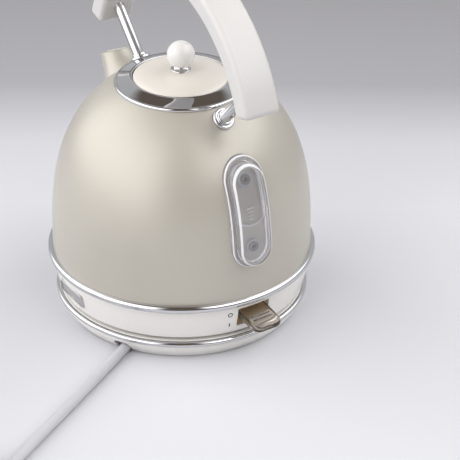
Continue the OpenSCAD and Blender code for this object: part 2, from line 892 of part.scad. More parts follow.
// Open at the top, where it meets the housing's lip
module switch_bracket() {
    depth = 8;
    low = slot_z - slot_h / 2 - bracket_wall;
    high = ring_z - lip_t - seat_gap;
    color("darkkhaki") difference() {
        intersection() {
            rotate([0, 0, slot_az]) translate([pivot_x - depth, -slot_w / 2 - bracket_wall, low])
                cube([3 * depth, slot_w + 2 * bracket_wall, high - low]);
            housing_solid(-housing_wall - press_gap);
        }
        rotate([0, 0, slot_az]) translate([pivot_x - depth + bracket_wall, -slot_w / 2, low + bracket_wall])
            cube([3 * depth, slot_w, 2 * slot_h]);
        at_pivot() rotate([90, 0, 0]) cylinder(r = switch_pin_r + 0.02, h = 2 * slot_w, center = true);
    }
}

module switch_pin() {
    color("silver") at_pivot() rotate([90, 0, 0])
        cylinder(r = switch_pin_r, h = slot_w + 2 * bracket_wall, center = true, $fn = 48);
}

// Plan of the lever: square at the pivot, round at the tip
module lever_plan(reach) {
    tip = 6;
    translate([0, -lever_w / 2]) square([reach - tip, lever_w]);
    translate([0, -lever_w / 2 + tip]) square([reach, lever_w - 2 * tip]);
    for (side = [-1, 1]) translate([reach - tip, side * (lever_w / 2 - tip)]) circle(tip, $fn = 48);
}

module switch_lever() {
    reach = (housing_mid_r + lever_out - pivot_x) / cos(lever_slope);
    color("gray", 0.6) at_pivot() rotate([0, lever_slope, 0]) difference() {
        union() {
            intersection() {
                translate([0, 0, -lever_t / 2]) linear_extrude(lever_t) lever_plan(reach);
                rotate([90, 0, 0]) linear_extrude(lever_w + 2, center = true) union() {
                    translate([0, -lever_t / 2]) square([reach - lever_t / 2, lever_t]);
                    translate([reach - lever_t / 2, 0]) circle(lever_t / 2, $fn = 48);
                }
            }
            rotate([90, 0, 0]) cylinder(r = lever_boss_r, h = slot_w - 2 * seat_gap, center = true, $fn = 48);
            for (x = [9, 12.5]) translate([reach - x, 0, lever_t / 2 - 0.2])
                rotate([90, 0, 0]) cylinder(r = 0.8, h = lever_w - 8, center = true, $fn = 24);
        }
        rotate([90, 0, 0]) cylinder(r = switch_pin_r + pin_gap, h = 2 * slot_w, center = true, $fn = 48);
    }
}

/* Limescale filter behind the spout */

// Part of the sheet inside the dome's wall that shows through an outline towards -X
module filter_sheet(skin, t) {
    intersection() {
        difference() {
            dome_solid(-skin);
            dome_solid(-skin - t);
        }
        translate([0, 0, filter_z]) rotate([90, 0, -90]) linear_extrude(dome_foot_r) children();
    }
}

module filter_frame() {
    color("gainsboro") filter_sheet(filter_skin, filter_t) difference() {
        rounded_rect(filter_w, filter_h, 6);
        rounded_rect(filter_w - 2 * filter_bar, filter_h - 2 * filter_bar, 4);
    }
}

module filter_mesh() {
    mesh_t = 0.6;
    color("silver") filter_sheet(filter_skin + (filter_t - mesh_t) / 2, mesh_t)
        rounded_rect(filter_w - 2 * (filter_bar + press_gap), filter_h - 2 * (filter_bar + press_gap), 4);
}

/* Lid */

module lid_cap() {
    steps = 10;
    cap_t = 1.4;
    color("wheat") rotate_extrude($fn = 144) difference() {
        polygon([
            [3, cap_edge - 1],
            [lid_r, cap_edge - 1],
            for (i = [0 : steps]) let (a = 90 * i / steps)
                [3 + (lid_r - 3) * cos(a), cap_edge + (cap_top - cap_edge) * sin(a)]
        ]);
        translate([0, -cap_t]) polygon([
            [0, cap_edge - 2],
            [lid_r - cap_t, cap_edge - 2],
            for (i = [0 : steps]) let (a = 90 * i / steps)
                [3 + (lid_r - cap_t - 3) * cos(a), cap_edge + (cap_top - cap_edge) * sin(a)],
            [0, cap_top]
        ]);
    }
}

module lid_skirt() {
    skirt_r = lid_r - 0.4;
    color("gainsboro") rotate_extrude($fn = 144) difference() {
        polygon([
            [0, lid_seat], [skirt_r, lid_seat], [skirt_r, lid_seat + 3], [skirt_r - 1, lid_seat + 3],
            [skirt_r - 1, lid_seat + 5.6], [skirt_r, lid_seat + 5.6], [skirt_r, cap_edge - 1],
            [skirt_r - 3, cap_edge - 1], [skirt_r - 3, lid_seat + 1.6], [6, lid_seat + 1.6],
            [6, cap_top - 1.4], [0, cap_top - 1.4]
        ]);
        square([1.6, cap_top]);
    }
}

module lid_seal() {
    skirt_r = lid_r - 0.4;
    color("lightgray") translate([0, 0, lid_seat + 3.1])
        ring(neck_r - 0.2, skirt_r - 1 + press_gap, 2.4, $fn = 144);
}

module knob_collar() {
    color("silver") translate([0, 0, cap_top]) rotate_extrude()
        polygon([[0, 0.02], [knob_collar_r, 0.02], [knob_collar_r, 0.8], [4.6, 1.6], [4.2, knob_collar_h], [0, knob_collar_h]]);
}

module knob() {
    centre = knob_h - knob_r;
    color("ivory") translate([0, 0, cap_top]) rotate_extrude() intersection() {
        union() {
            translate([0, centre]) circle(knob_r);
            translate([0, knob_collar_h]) square([4.2, centre - knob_collar_h]);
        }
        translate([0, knob_collar_h]) square([2 * knob_r, 2 * knob_h]);
    }
}

base_shell();
base_trim_ring();
base_cover();
base_foot_ring();
base_screws();
base_connector();
connector_contacts();
cord_gland();
mains_cord();
mains_cord_coil();
mains_cord_tail();
cord_tie();
plug_body();
plug_pins();
socket_ring();
socket_pin();
housing_floor();
floor_screws();
bottom_housing();
badge_plate();
upper_trim_ring();
heating_plate();
heating_element();
control_unit();
steam_tube();
dome_shell();
spout();
lid_collar();
gauge_window();
gauge_seals();
gauge_bushings();
handle();
handle_stud_rear();
handle_stud_front();
stud_nuts();
switch_bracket();
switch_pin();
switch_lever();
filter_frame();
filter_mesh();
lid_cap();
lid_skirt();
lid_seal();
knob_collar();
knob();
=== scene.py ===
# Dome kettle with an arched handle on its corded power base: the looks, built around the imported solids.
import json
import math

import bmesh
import bpy
import numpy as np
from mathutils import Matrix, Vector


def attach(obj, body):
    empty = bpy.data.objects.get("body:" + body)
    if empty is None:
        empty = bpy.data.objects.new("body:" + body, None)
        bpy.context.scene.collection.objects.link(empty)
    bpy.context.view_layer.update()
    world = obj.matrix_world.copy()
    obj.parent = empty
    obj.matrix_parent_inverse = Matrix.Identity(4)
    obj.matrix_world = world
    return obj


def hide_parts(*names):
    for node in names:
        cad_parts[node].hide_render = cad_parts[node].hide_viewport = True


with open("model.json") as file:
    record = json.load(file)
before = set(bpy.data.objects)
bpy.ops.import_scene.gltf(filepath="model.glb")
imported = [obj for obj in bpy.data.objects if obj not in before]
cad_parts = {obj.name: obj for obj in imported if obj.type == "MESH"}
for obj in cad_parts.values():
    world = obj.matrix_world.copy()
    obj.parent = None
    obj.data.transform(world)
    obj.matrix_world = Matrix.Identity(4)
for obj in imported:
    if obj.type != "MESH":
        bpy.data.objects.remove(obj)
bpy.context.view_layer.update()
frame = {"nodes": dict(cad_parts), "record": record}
nodes = frame["nodes"]
mm = 0.001
tiny = 0.02  # mm, the least radius or width of an outline, so that its points stay apart


def pick(settings, names):
    return [settings[name] for name in names.split()]


cameraSetup = {
    "azimuth": 57.0,        # degrees round the kettle, 0 looks along +Y
    "elevation": 30.12,
    "distance": 1425.0,     # from the axis, mm
    "right": 34.3,          # how far the view's centre lies from the axis, mm
    "up": 46.0,
    "roll": -0.54,
    "lens": 154.1,
    "sensor": 36,
    "clip": (0.05, 50),     # metres
}


def standing(place, right, up, back):  # an object's matrix from its place and its axes
    return Matrix.Translation(place) @ Matrix((right, up, back)).transposed().to_4x4()


def makeCamera(setup):
    a, e, t = np.radians(pick(setup, "azimuth elevation roll")).tolist()
    back = Vector((math.sin(a) * math.cos(e), -math.cos(a) * math.cos(e), math.sin(e)))
    right = Vector((math.cos(a), math.sin(a), 0))
    up = back.cross(right)
    place = (right * setup["right"] + up * setup["up"] + back * setup["distance"]) * mm
    rolledRight = right * math.cos(t) - up * math.sin(t)
    rolledUp = right * math.sin(t) + up * math.cos(t)
    camera = bpy.data.objects.new("camera", bpy.data.cameras.new("camera"))
    camera.data.lens = setup["lens"]
    camera.data.sensor_width = setup["sensor"]
    camera.data.clip_start, camera.data.clip_end = setup["clip"]
    camera.matrix_world = standing(place, rolledRight, rolledUp, back)
    bpy.context.scene.collection.objects.link(camera)
    bpy.context.scene.camera = camera


makeCamera(cameraSetup)
print("camera placed")


class Field:  # one socket, so that shader maths reads as an expression
    def __init__(self, graph, socket):
        self.graph = graph
        self.socket = socket

    def __add__(self, other):
        return self.graph.math("ADD", self, other)

    def __mul__(self, other):
        return self.graph.math("MULTIPLY", self, other)

    def __rsub__(self, other):
        return self.graph.math("SUBTRACT", other, self)

    __radd__ = __add__


class Graph:  # the nodes of one material, or of the world
    def __init__(self, name, world=None):
        self.material = world or bpy.data.materials.new(name)
        self.material.use_nodes = True
        self.tree = self.material.node_tree
        self.tree.nodes.clear()
        self.output = self.tree.nodes.new("ShaderNodeOutputWorld" if world else "ShaderNodeOutputMaterial")

    def plug(self, socket, value):
        if isinstance(value, Field):
            self.tree.links.new(value.socket, socket)
        else:
            socket.default_value = (*value, 1) if socket.type == "RGBA" else value

    def add(self, kind, settings=None, sockets=None, out=0):
        node = self.tree.nodes.new(kind)
        for key, value in (settings or {}).items():
            if key == "stops":
                ramp = node.color_ramp
                while len(ramp.elements) < len(value):
                    ramp.elements.new(0.5)
                for element, (place, colour) in zip(ramp.elements, value):
                    element.position = place
                    element.color = (*colour, 1)
            else:
                setattr(node, key, value)
        for key, value in (sockets or {}).items():
            self.plug(node.inputs[key], value)
        return Field(self, node.outputs[out])

    def math(self, operation, a, b):
        return self.add("ShaderNodeMath", {"operation": operation}, {0: a, 1: b})

    def mix(self, factor, a, b):  # inputs 6 and 7 and output 2 are the node's colours
        return self.add("ShaderNodeMix", {"data_type": "RGBA"}, {"Factor": factor, 6: a, 7: b}, out=2)

    def dot(self, vector, direction):
        sockets = {0: vector, 1: direction}
        return self.add("ShaderNodeVectorMath", {"operation": "DOT_PRODUCT"}, sockets, out=1)

    def rise(self, value, low, high):  # 0 below low, 1 above high, a smooth step between
        sockets = {"Value": value, "From Min": low, "From Max": high}
        return self.add("ShaderNodeMapRange", {"interpolation_type": "SMOOTHSTEP"}, sockets)

    def coords(self):
        return self.add("ShaderNodeTexCoord", out="Object")

    def noise(self, scale, detail, rough=0.5):  # scale is in cells per metre
        sockets = {"Vector": self.coords(), "Scale": scale, "Detail": detail, "Roughness": rough}
        return self.add("ShaderNodeTexNoise", None, sockets)

    def bump(self, height, strength, distance):
        sockets = {"Height": height, "Strength": strength, "Distance": distance}
        return self.add("ShaderNodeBump", None, sockets)

    def surface(self, **sockets):
        named = {key.replace("_", " "): value for key, value in sockets.items()}
        shader = self.add("ShaderNodeBsdfPrincipled", None, named)
        self.tree.links.new(shader.socket, self.output.inputs["Surface"])
        return self.material


# Pearly paint: cloudy tint, fine metal flakes and an orange-peel coat
def makePaint(name, base, tint, metallic):
    g = Graph(name)
    cloud, flake, peel = g.noise(9, 2), g.noise(2600, 1), g.noise(420, 2)
    glint = (0.62, 0.585, 0.53)
    return g.surface(
        Base_Color=g.mix(flake * 0.22, g.mix(cloud, base, tint), glint), Metallic=metallic,
        Roughness=0.40 + flake * 0.08, Coat_Weight=0.6, Coat_Roughness=0.30,
        Normal=g.bump(peel, 0.05, 0.0004),
    )


# Glossy moulded plastic
def makeGloss(name, base, tint, roughness):
    g = Graph(name)
    cloud, peel = g.noise(14, 3), g.noise(650, 2)
    return g.surface(
        Base_Color=g.mix(cloud, base, tint), Roughness=roughness + cloud * 0.05, IOR=1.5,
        Coat_Weight=0.25, Coat_Roughness=0.12, Normal=g.bump(peel, 0.04, 0.0003),
    )


def makeChrome(name, colour):
    g = Graph(name)
    smudge = g.noise(22, 4, 0.6)
    return g.surface(Base_Color=colour, Metallic=1.0, Roughness=0.02 + smudge * 0.03)


def makeMetal(name, colour, roughness, grain):
    g = Graph(name)
    spot, fine = g.noise(60, 3), g.noise(grain, 2)
    worn = [0.82 * c for c in colour]
    return g.surface(
        Base_Color=g.mix(spot * 0.5, colour, worn), Metallic=1.0,
        Roughness=roughness + fine * 0.14, Normal=g.bump(fine, 0.06, 0.0002),
    )


# Matt plastic, silicone, rubber or ink
def makePlain(name, colour, roughness, grain=900, depth=0.08):
    g = Graph(name)
    cloud, fine = g.noise(18, 3), g.noise(grain, 2)
    shade = [0.88 * c for c in colour]
    return g.surface(
        Base_Color=g.mix(cloud * 0.6, colour, shade), Roughness=roughness + fine * 0.12,
        Normal=g.bump(fine, depth, 0.0003),
    )


def makeClear(name, colour, roughness, transmission):
    g = Graph(name)
    haze = g.noise(30, 3)
    return g.surface(
        Base_Color=colour, Roughness=roughness + haze * 0.05, IOR=1.46,
        Transmission_Weight=transmission,
    )


paint = makePaint("pearlPaint", (0.448, 0.420, 0.362), (0.478, 0.449, 0.391), 0.32)
# The dome's paint made paler for the lid: painted light on its upturned face, and less metallic
paintLitCopy = makePaint("pearlPaintLitCopy", (0.700, 0.660, 0.598), (0.720, 0.680, 0.620), 0.08)
cream = makeGloss("creamPlastic", (0.775, 0.760, 0.735), (0.750, 0.730, 0.700), 0.22)
handleWhite = makeGloss("handlePlastic", (0.610, 0.598, 0.586), (0.585, 0.573, 0.560), 0.34)
chrome = makeChrome("chrome", (0.63, 0.63, 0.645))
steel = makeMetal("steel", (0.56, 0.55, 0.54), 0.28, 500)
satin = makeMetal("satinPlate", (0.60, 0.60, 0.60), 0.30, 700)
# Dark steel used as painted shade: in the badge's groove and in the gauge's holes
paintedShadeSteel = makeMetal("paintedShadeSteel", (0.20, 0.19, 0.18), 0.25, 700)
aluminium = makeMetal("castAluminium", (0.52, 0.52, 0.52), 0.46, 350)
brass = makeMetal("brass", (0.72, 0.54, 0.26), 0.26, 500)
clearPlastic = makeClear("clearPlastic", (0.96, 0.95, 0.97), 0.02, 0.90)
# Milky finish for the gauge window's rounded edges: a painted highlight
milkyHighlightPlastic = makeClear("milkyHighlightPlastic", (0.97, 0.96, 0.98), 0.16, 0.30)
smokePlastic = makeClear("smokePlastic", (0.66, 0.60, 0.53), 0.02, 0.96)
# Bracket colour raised far above the plastic's own olive brown: painted light that makes up for the shade in
# the switch slot
bracketPaintedLight = makePlain("bracketPaintedLight", (0.98, 0.79, 0.48), 0.38)
innerPlastic = makePlain("innerPlastic", (0.56, 0.55, 0.53), 0.42)
silicone = makePlain("silicone", (0.44, 0.50, 0.53), 0.40, 300, 0.03)
darkRubber = makePlain("darkRubber", (0.035, 0.035, 0.036), 0.62, 700, 0.2)
cordPlastic = makePlain("cordPlastic", (0.540, 0.540, 0.570), 0.46, 500, 0.05)
printInk = makePlain("printInk", (0.07, 0.06, 0.06), 0.5)
frosted = makePlain("frosted", (0.86, 0.85, 0.86), 0.35)
print("materials made")

kettle = {  # main sizes shared by the pieces, mm
    "footRadius": 91.4, "curveHeight": 134.0, "power": 2.9, "domeFoot": 47.2, "ringFoot": 41.5, "crown": 43.5,
    "housingFoot": 18.6, "housingLow": 87.2, "housingHigh": 91.5, "housingBulge": 0.5,
}
meshing = {"weld": 2e-6, "collapse": 1e-7}      # metres: points nearer than this join, shorter edges go
easing = {  # of a cut's edges
    "angle": 40, "segments": 3, "margin": 0.4, "skin": 0.2,     # mm round the cut, and inside the skin
}


def columns(*parts):
    return np.stack(np.broadcast_arrays(*parts), 1)


def gridFaces(rows, cols, closeRows, closeCols):
    i = np.arange(rows if closeRows else rows - 1)
    j = np.arange(cols if closeCols else cols - 1)
    i, j = [a.ravel() for a in np.meshgrid(i, j, indexing="ij")]
    k, m = (i + 1) % rows, (j + 1) % cols
    return columns(i * cols + j, i * cols + m, k * cols + m, k * cols + j)


# Loops of points joined one to the next, with a face across the first and the last
def capped(rows):
    n, last = len(rows[0]), (len(rows) - 1) * len(rows[0])
    faces = gridFaces(len(rows), n, False, True).tolist()
    return np.vstack(rows), faces + [list(range(n))[::-1], list(range(last, last + n))]


def shadeSmooth(mesh):
    mesh.polygons.foreach_set("use_smooth", np.ones(len(mesh.polygons), bool))


def toMesh(name, points, faces):
    mesh = bpy.data.meshes.new(name)
    mesh.from_pydata((np.asarray(points, float) * mm).tolist(), [], [list(map(int, f)) for f in faces])
    work = bmesh.new()
    work.from_mesh(mesh)
    bmesh.ops.remove_doubles(work, verts=work.verts, dist=meshing["weld"])
    bmesh.ops.dissolve_degenerate(work, edges=work.edges, dist=meshing["collapse"])
    bmesh.ops.recalc_face_normals(work, faces=work.faces)
    work.to_mesh(mesh)
    work.free()
    shadeSmooth(mesh)
    obj = bpy.data.objects.new(name, mesh)
    bpy.context.scene.collection.objects.link(obj)
    return obj


def finishPiece(obj, body, material, stands=()):
    obj.data.materials.clear()
    obj.data.materials.append(material)
    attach(obj, body)
    if stands:
        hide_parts(*stands)


def addFinish(obj, material, chosen):  # a second material on the chosen faces
    obj.data.materials.append(material)
    obj.data.polygons.foreach_set("material_index", np.asarray(chosen, np.int32))


def joinMeshes(name, parts):
    points, faces, base = [], [], 0
    for p, f in parts:
        points.append(p)
        faces += [[int(v) + base for v in face] for face in f]
        base += len(p)
    return toMesh(name, np.vstack(points), faces)


# Arc of a circle about (x, y), between two angles in degrees
def arc(x, y, radius, start, end, count):
    a = np.radians(np.linspace(start, end, count))
    return columns(x + radius * np.cos(a), y + radius * np.sin(a))


def circleOutline(radius, count):
    return arc(0, 0, radius, 0, 360, count + 1)[:-1]


# Rectangle outline with round corners, the same number of points whatever its size
def boxOutline(w, h, r, steps=8):
    x, y = w / 2 - r, h / 2 - r
    corners = [(x, y, 0), (-x, y, 90), (-x, -y, 180), (x, -y, 270)]
    return np.vstack([arc(cx, cy, r, turn, turn + 90, steps + 1) for cx, cy, turn in corners])


# Stadium outline: each half circle and each straight side gets a quarter of the points, at any size
def stadiumOutline(w, h, count):
    r, straight, n = w / 2, h - w, count // 4
    top = arc(0, straight / 2, r, 0, 180, n + 1)[:-1]
    side = columns(-r, np.linspace(straight / 2, -straight / 2, n + 1)[:-1])
    return np.vstack([top, side, -top, -side])


# How far a rounded edge drops, where a point lies this far into the rounding: r - sqrt(r^2 - into^2)
def edgeDrop(into, radius):
    return radius - np.sqrt(np.maximum(radius ** 2 - np.maximum(into, 0) ** 2, 0))


# Profile (r, z) turned about the axis: x = r cos a, y = r sin a
def turned(profile, segments=288):
    profile = np.asarray(profile, float)
    a = np.linspace(0, 2 * math.pi, segments, endpoint=False)
    r, z = profile[:, :1], profile[:, 1:]
    points = np.stack([r * np.cos(a), r * np.sin(a), z + 0 * a], axis=2).reshape(-1, 3)
    return points, gridFaces(len(profile), segments, True, True)


# Solid of revolution about any line: profile (r, along) round the axis from origin towards direction
def turnedAbout(profile, origin, direction, segments):
    points, faces = turned(profile, segments)
    w = np.array(direction, float) / np.linalg.norm(direction)
    side = np.cross(w, (0, 1, 0))
    side /= np.linalg.norm(side)
    other = np.cross(w, side)
    return origin + points[:, :1] * side + points[:, 1:2] * other + points[:, 2:] * w, faces


# Points (out, side, z) of a frame that is turned to an azimuth about the axis
def atAzimuth(out, side, z, azimuth):
    a = math.radians(azimuth)
    x = out * math.cos(a) - side * math.sin(a)
    return columns(x, out * math.sin(a) + side * math.cos(a), z)


# Prism of an outline (side, z) pushed out along an azimuth between two radii
def prismAlong(outline, reach, azimuth):
    rows = [atAzimuth(r, outline[:, 0], outline[:, 1], azimuth) for r in reach]
    return toMesh("cutter", *capped(rows))


# Radius of the dome, or of its outline set off by grow, at height z: a superellipse
def domeRadius(z, grow=0.0):
    h = np.clip((z - kettle["domeFoot"]) / (kettle["curveHeight"] + grow), 0, 1)
    return (kettle["footRadius"] + grow) * np.sqrt(1 - h ** kettle["power"])


def domeHeight(r):
    share = 1 - (r / kettle["footRadius"]) ** 2
    return kettle["domeFoot"] + kettle["curveHeight"] * share ** (1 / kettle["power"])


# Outline of the dome from its foot to the crown's edge, in even steps of its angle
def domeOutline(grow, count):
    foot = kettle["footRadius"] + grow
    a = np.linspace(0, math.acos(kettle["crown"] / foot), count)
    rise = (kettle["curveHeight"] + grow) * np.sin(a) ** (2 / kettle["power"])
    return columns(foot * np.cos(a), kettle["domeFoot"] + rise)


# Radius of the housing band at height z: a straight flare that bulges by half a sine wave
def housingRadius(z):
    t = (z - kettle["housingFoot"]) / (kettle["ringFoot"] - kettle["housingFoot"])
    flare = kettle["housingLow"] + (kettle["housingHigh"] - kettle["housingLow"]) * t
    return flare + kettle["housingBulge"] * np.sin(math.pi * t)


# Points (y, z) laid on the dome's +X side at an offset: x = sqrt(R(z)^2 - y^2)
def onDome(yz, grow):
    r = domeRadius(yz[:, 1], grow)
    return columns(np.sqrt(r ** 2 - yz[:, 0] ** 2), yz[:, 0], yz[:, 1])


# Points (side, z) laid on the housing band at an azimuth, offset outwards
def onHousing(yz, grow, azimuth):
    r = housingRadius(yz[:, 1]) + grow
    a = math.radians(azimuth) + yz[:, 0] / r
    return columns(r * np.cos(a), r * np.sin(a), yz[:, 1])


def cutBy(obj, cutters):
    for cutter in cutters:
        tool = obj.modifiers.new("cut", "BOOLEAN")
        tool.object = cutter
        tool.solver = "EXACT"
    graph = bpy.context.evaluated_depsgraph_get()
    mesh = bpy.data.meshes.new_from_object(obj.evaluated_get(graph))
    obj.modifiers.clear()
    obj.data = mesh
    for cutter in cutters:
        bpy.data.objects.remove(cutter)


# Keeps rounded surfaces smooth and leaves creases sharper than the angle crisp
def sharpen(obj, angle=35):
    work = bmesh.new()
    work.from_mesh(obj.data)
    limit = math.radians(angle)
    for edge in work.edges:
        edge.smooth = len(edge.link_faces) == 2 and edge.calc_face_angle(0) < limit
    work.to_mesh(obj.data)
    work.free()
    shadeSmooth(obj.data)
    return obj


# Rounds the outer edges of a cut at an azimuth: bevels the sharp edges that lie near it on the outer skin
def easeCut(obj, azimuth, halfWidth, heights, skinRadius, offset):
    a, low, high = math.radians(azimuth), heights[0] - easing["margin"], heights[1] + easing["margin"]

    def near(vertex):
        x, y, z = vertex.co / mm
        out, side = x * math.cos(a) + y * math.sin(a), y * math.cos(a) - x * math.sin(a)
        onSkin = math.hypot(x, y) > skinRadius(z) - easing["skin"]
        return out > 0 and abs(side) < halfWidth + easing["margin"] and low < z < high and onSkin

    work = bmesh.new()
    work.from_mesh(obj.data)
    limit = math.radians(easing["angle"])
    sharp = [e for e in work.edges if len(e.link_faces) == 2 and e.calc_face_angle(0) > limit]
    bmesh.ops.bevel(
        work, geom=[e for e in sharp if all(near(v) for v in e.verts)], offset=offset * mm,
        segments=easing["segments"], profile=0.5, affect="EDGES", clamp_overlap=True,
    )
    work.to_mesh(obj.data)
    work.free()
    sharpen(obj)


cordRoute = {  # the same route as the solids, mm
    "diameter": 7.0, "sides": 20, "leadSteps": 5, "turnSteps": 60, "tailSteps": 4,
    "lead": [
        (41.4, -67.9, 4), (46.9, -76.8, 4), (57.3, -93.9, 3.7), (78.2, -128, 3.7),
        (104, -170.6, 3.7), (124.6, -204.6, 3.7), (137, -225.1, 4.1), (142.9, -234.8, 4.4),
    ],
    "coilCentre": (113, -253), "coilRadius": 35, "coilStart": 31.4, "coilFoot": 4.4,
    "turns": -2.4167, "pitch": 7.2,
    "climb": (0.745, 0.93),        # share of each turn in which it steps up onto the one below
    "tail": [
        (96.3, -283.7, 18.8), (85.7, -278, 17.2), (75.2, -272.2, 13.2), (65.5, -266.9, 10.4),
        (55.9, -261.7, 11.4), (46.2, -256.4, 15.6), (38.3, -252.1, 18.2), (33, -249.2, 18.5),
    ],
}


# Catmull-Rom curve through points: each span is a cubic whose end slopes are half its neighbours' chord
def smoothRoute(points, perSpan):
    p = np.asarray(points, float)
    p = np.vstack([2 * p[0] - p[1], p, 2 * p[-1] - p[-2]])
    t = np.linspace(0, 1, perSpan, endpoint=False)[:, None]
    spans = [
        0.5 * (2 * b + (c - a) * t + (2 * a - 5 * b + 4 * c - d) * t ** 2 + (3 * b - a - 3 * c + d) * t ** 3)
        for a, b, c, d in zip(p[:-3], p[1:-2], p[2:-1], p[3:])
    ]
    return np.vstack(spans + [p[-2:-1]])


# Turns of the coil: each lies flat, then steps up a pitch along half a cosine wave; negative is clockwise
def coilTurns(setup):
    turns, (start, end) = abs(setup["turns"]), setup["climb"]
    u = np.linspace(0, turns, int(setup["turnSteps"] * turns) + 1)[1:-1]
    climbed = np.clip((u % 1 - start) / (end - start), 0, 1)
    level = np.floor(u) + (1 - np.cos(math.pi * climbed)) / 2
    a = math.radians(setup["coilStart"]) + 2 * math.pi * u * math.copysign(1, setup["turns"])
    (x, y), r, foot, pitch = pick(setup, "coilCentre coilRadius coilFoot pitch")
    return columns(x + r * np.cos(a), y + r * np.sin(a), foot + pitch * level)


# Outline (u, v) carried along a path: point = path + u side + v up, with side and up square to the path
def swept(path, outline):
    along = np.gradient(path, axis=0)
    along /= np.linalg.norm(along, axis=1, keepdims=True)
    side = np.cross(along, (0, 0, 1))
    side /= np.linalg.norm(side, axis=1, keepdims=True)
    up = np.cross(side, along)
    return capped(path[:, None] + outline[None, :, :1] * side[:, None] + outline[None, :, 1:] * up[:, None])


def makeCord(setup):
    route = np.vstack([
        smoothRoute(setup["lead"], setup["leadSteps"]), coilTurns(setup),
        smoothRoute(setup["tail"], setup["tailSteps"]),
    ])
    cord = toMesh("mainsCord", *swept(route, circleOutline(setup["diameter"] / 2, setup["sides"])))
    stands = ["mains_cord", "mains_cord_coil", "mains_cord_tail"]
    finishPiece(cord, "power_base", cordPlastic, stands)


makeCord(cordRoute)

dome = {
    "wall": 1.2, "skirt": 2.4, "gaugeHoles": (85.5, 130.5), "holeRadius": 2.65, "holeDepth": 6,
    "segments": 256, "skin": 0.3,        # faces this far inside the outline, or more, are bare steel
}
spout = {
    "mouth": (-90, 157), "mouthTilt": 25, "mouthRadius": 11, "lip": 7, "lipRadius": 4,
    "root": (-55, 124), "rootTilt": 62, "rootRadius": 24, "wall": 1.6, "points": 160,
    "fillet": 2.4, "flare": 0.62, "flarePower": 2.2, "sunk": 0.12, "innerSunk": 0.6,
    "waist": 0.9, "rimRise": 0.8, "cutPoints": 96, "cutReach": 1.1,
}


def tiltFrame(place, tilt):  # origin, local x and local z of a plane tilted towards -X
    t = math.radians(tilt)
    origin = np.array([place[0], 0, place[1]], float)
    return origin, np.array([math.cos(t), 0, math.sin(t)]), np.array([-math.sin(t), 0, math.cos(t)])


# Outline of a round mouth with a pouring lip: support points of two circles, the small one further out
def mouthOutline(radius, lipRadius, lipOut, count):
    a = np.linspace(0, 2 * math.pi, count, endpoint=False)
    reach = radius + lipOut - lipRadius
    useLip = -np.cos(a) > (radius - lipRadius) / reach + 1e-9      # points on the border stay on the big one
    r = np.where(useLip, lipRadius, radius)
    x = r * np.cos(a) - np.where(useLip, reach, 0)
    return columns(x, r * np.sin(a))


# Ends of the spout's straight lines: a circle inside the dome and the mouth's outline, and the mouth's axis
def spoutEnds(shape, grow, count):
    y = np.array([0, 1, 0])
    origin, x, z = tiltFrame(shape["root"], shape["rootTilt"])
    circle = circleOutline(shape["rootRadius"] + grow, count)
    root = origin + circle[:, :1] * x + circle[:, 1:] * y
    origin, x, z = tiltFrame(shape["mouth"], shape["mouthTilt"])
    edge = mouthOutline(shape["mouthRadius"] + grow, shape["lipRadius"] + grow, shape["lip"], count)
    return root, origin + edge[:, :1] * x + edge[:, 1:] * y, z


# Share of the way from root to mouth at which each line leaves the dome, by halving
def leavesDome(root, mouth, grow, halvings=40):
    low, high = np.zeros(len(root)), np.ones(len(root))
    for _ in range(halvings):
        mid = (low + high) / 2
        p = root + (mouth - root) * mid[:, None]
        inside = np.hypot(p[:, 0], p[:, 1]) < domeRadius(p[:, 2], grow)
        low, high = np.where(inside, mid, low), np.where(inside, high, mid)
    return low


# Ruled surface: foot fillet, slightly waisted lines to the mouth, half-round rim, and back down the inside
def makeSpout(shape):
    fillet, wall, count = pick(shape, "fillet wall points")
    root, mouth = spoutEnds(shape, 0, count)[:2]
    start = leavesDome(root, mouth, 0)
    length = np.linalg.norm(mouth - root, axis=1)
    foot = root + (mouth - root) * start[:, None]
    line = (mouth - root) / length[:, None]
    outward = foot - foot.mean(0)
    outward -= (outward * line).sum(1, keepdims=True) * line
    outward /= np.linalg.norm(outward, axis=1, keepdims=True)
    rows = []
    for t in np.linspace(0, 1, 7):  # away from the line by flare * fillet * (1 - t)^power
        away = fillet * (1 - t) ** shape["flarePower"] * shape["flare"]
        rows.append(foot + line * fillet * t + outward * away)
    first = rows[0]
    first[:, :2] *= (domeRadius(first[:, 2], -shape["sunk"]) / np.hypot(first[:, 0], first[:, 1]))[:, None]
    begin = start + fillet / length
    for t in np.linspace(0, 1, 14)[1:]:
        share = begin + (1 - begin) * t
        rows.append(root + (mouth - root) * share[:, None] - shape["waist"] * math.sin(math.pi * t) * outward)
    innerRoot, innerMouth, up = spoutEnds(shape, -wall, count)
    rim = rows.pop()
    for t in np.linspace(0, math.pi, 9):
        across = (rim - innerMouth) / 2 * math.cos(t)
        rows.append((rim + innerMouth) / 2 + across + up * shape["rimRise"] * math.sin(t))
    innerStart = leavesDome(innerRoot, innerMouth, -shape["innerSunk"])
    for t in np.linspace(1, 0, 8)[1:]:
        share = innerStart + (1 - innerStart) * t
        rows.append(innerRoot + (innerMouth - innerRoot) * share[:, None])
    piece = toMesh("spoutBeak", np.vstack(rows), gridFaces(len(rows), count, True, True))
    finishPiece(piece, "kettle", paint, ["spout"])


def spoutCutter(shape):
    root, mouth = spoutEnds(shape, -shape["wall"], shape["cutPoints"])[:2]
    return toMesh("cutter", *capped([root, root + (mouth - root) * shape["cutReach"]]))


# Short rod square to the dome's outline at height z
def holeCutter(z, radius, depth):
    slope = math.atan2(domeRadius(z - 1) - domeRadius(z + 1), 2)
    profile = [(0, -depth), (radius, -depth), (radius, depth), (0, depth)]
    out = (math.cos(slope), 0, math.sin(slope))
    return toMesh("cutter", *turnedAbout(profile, (domeRadius(z), 0, z), out, 48))


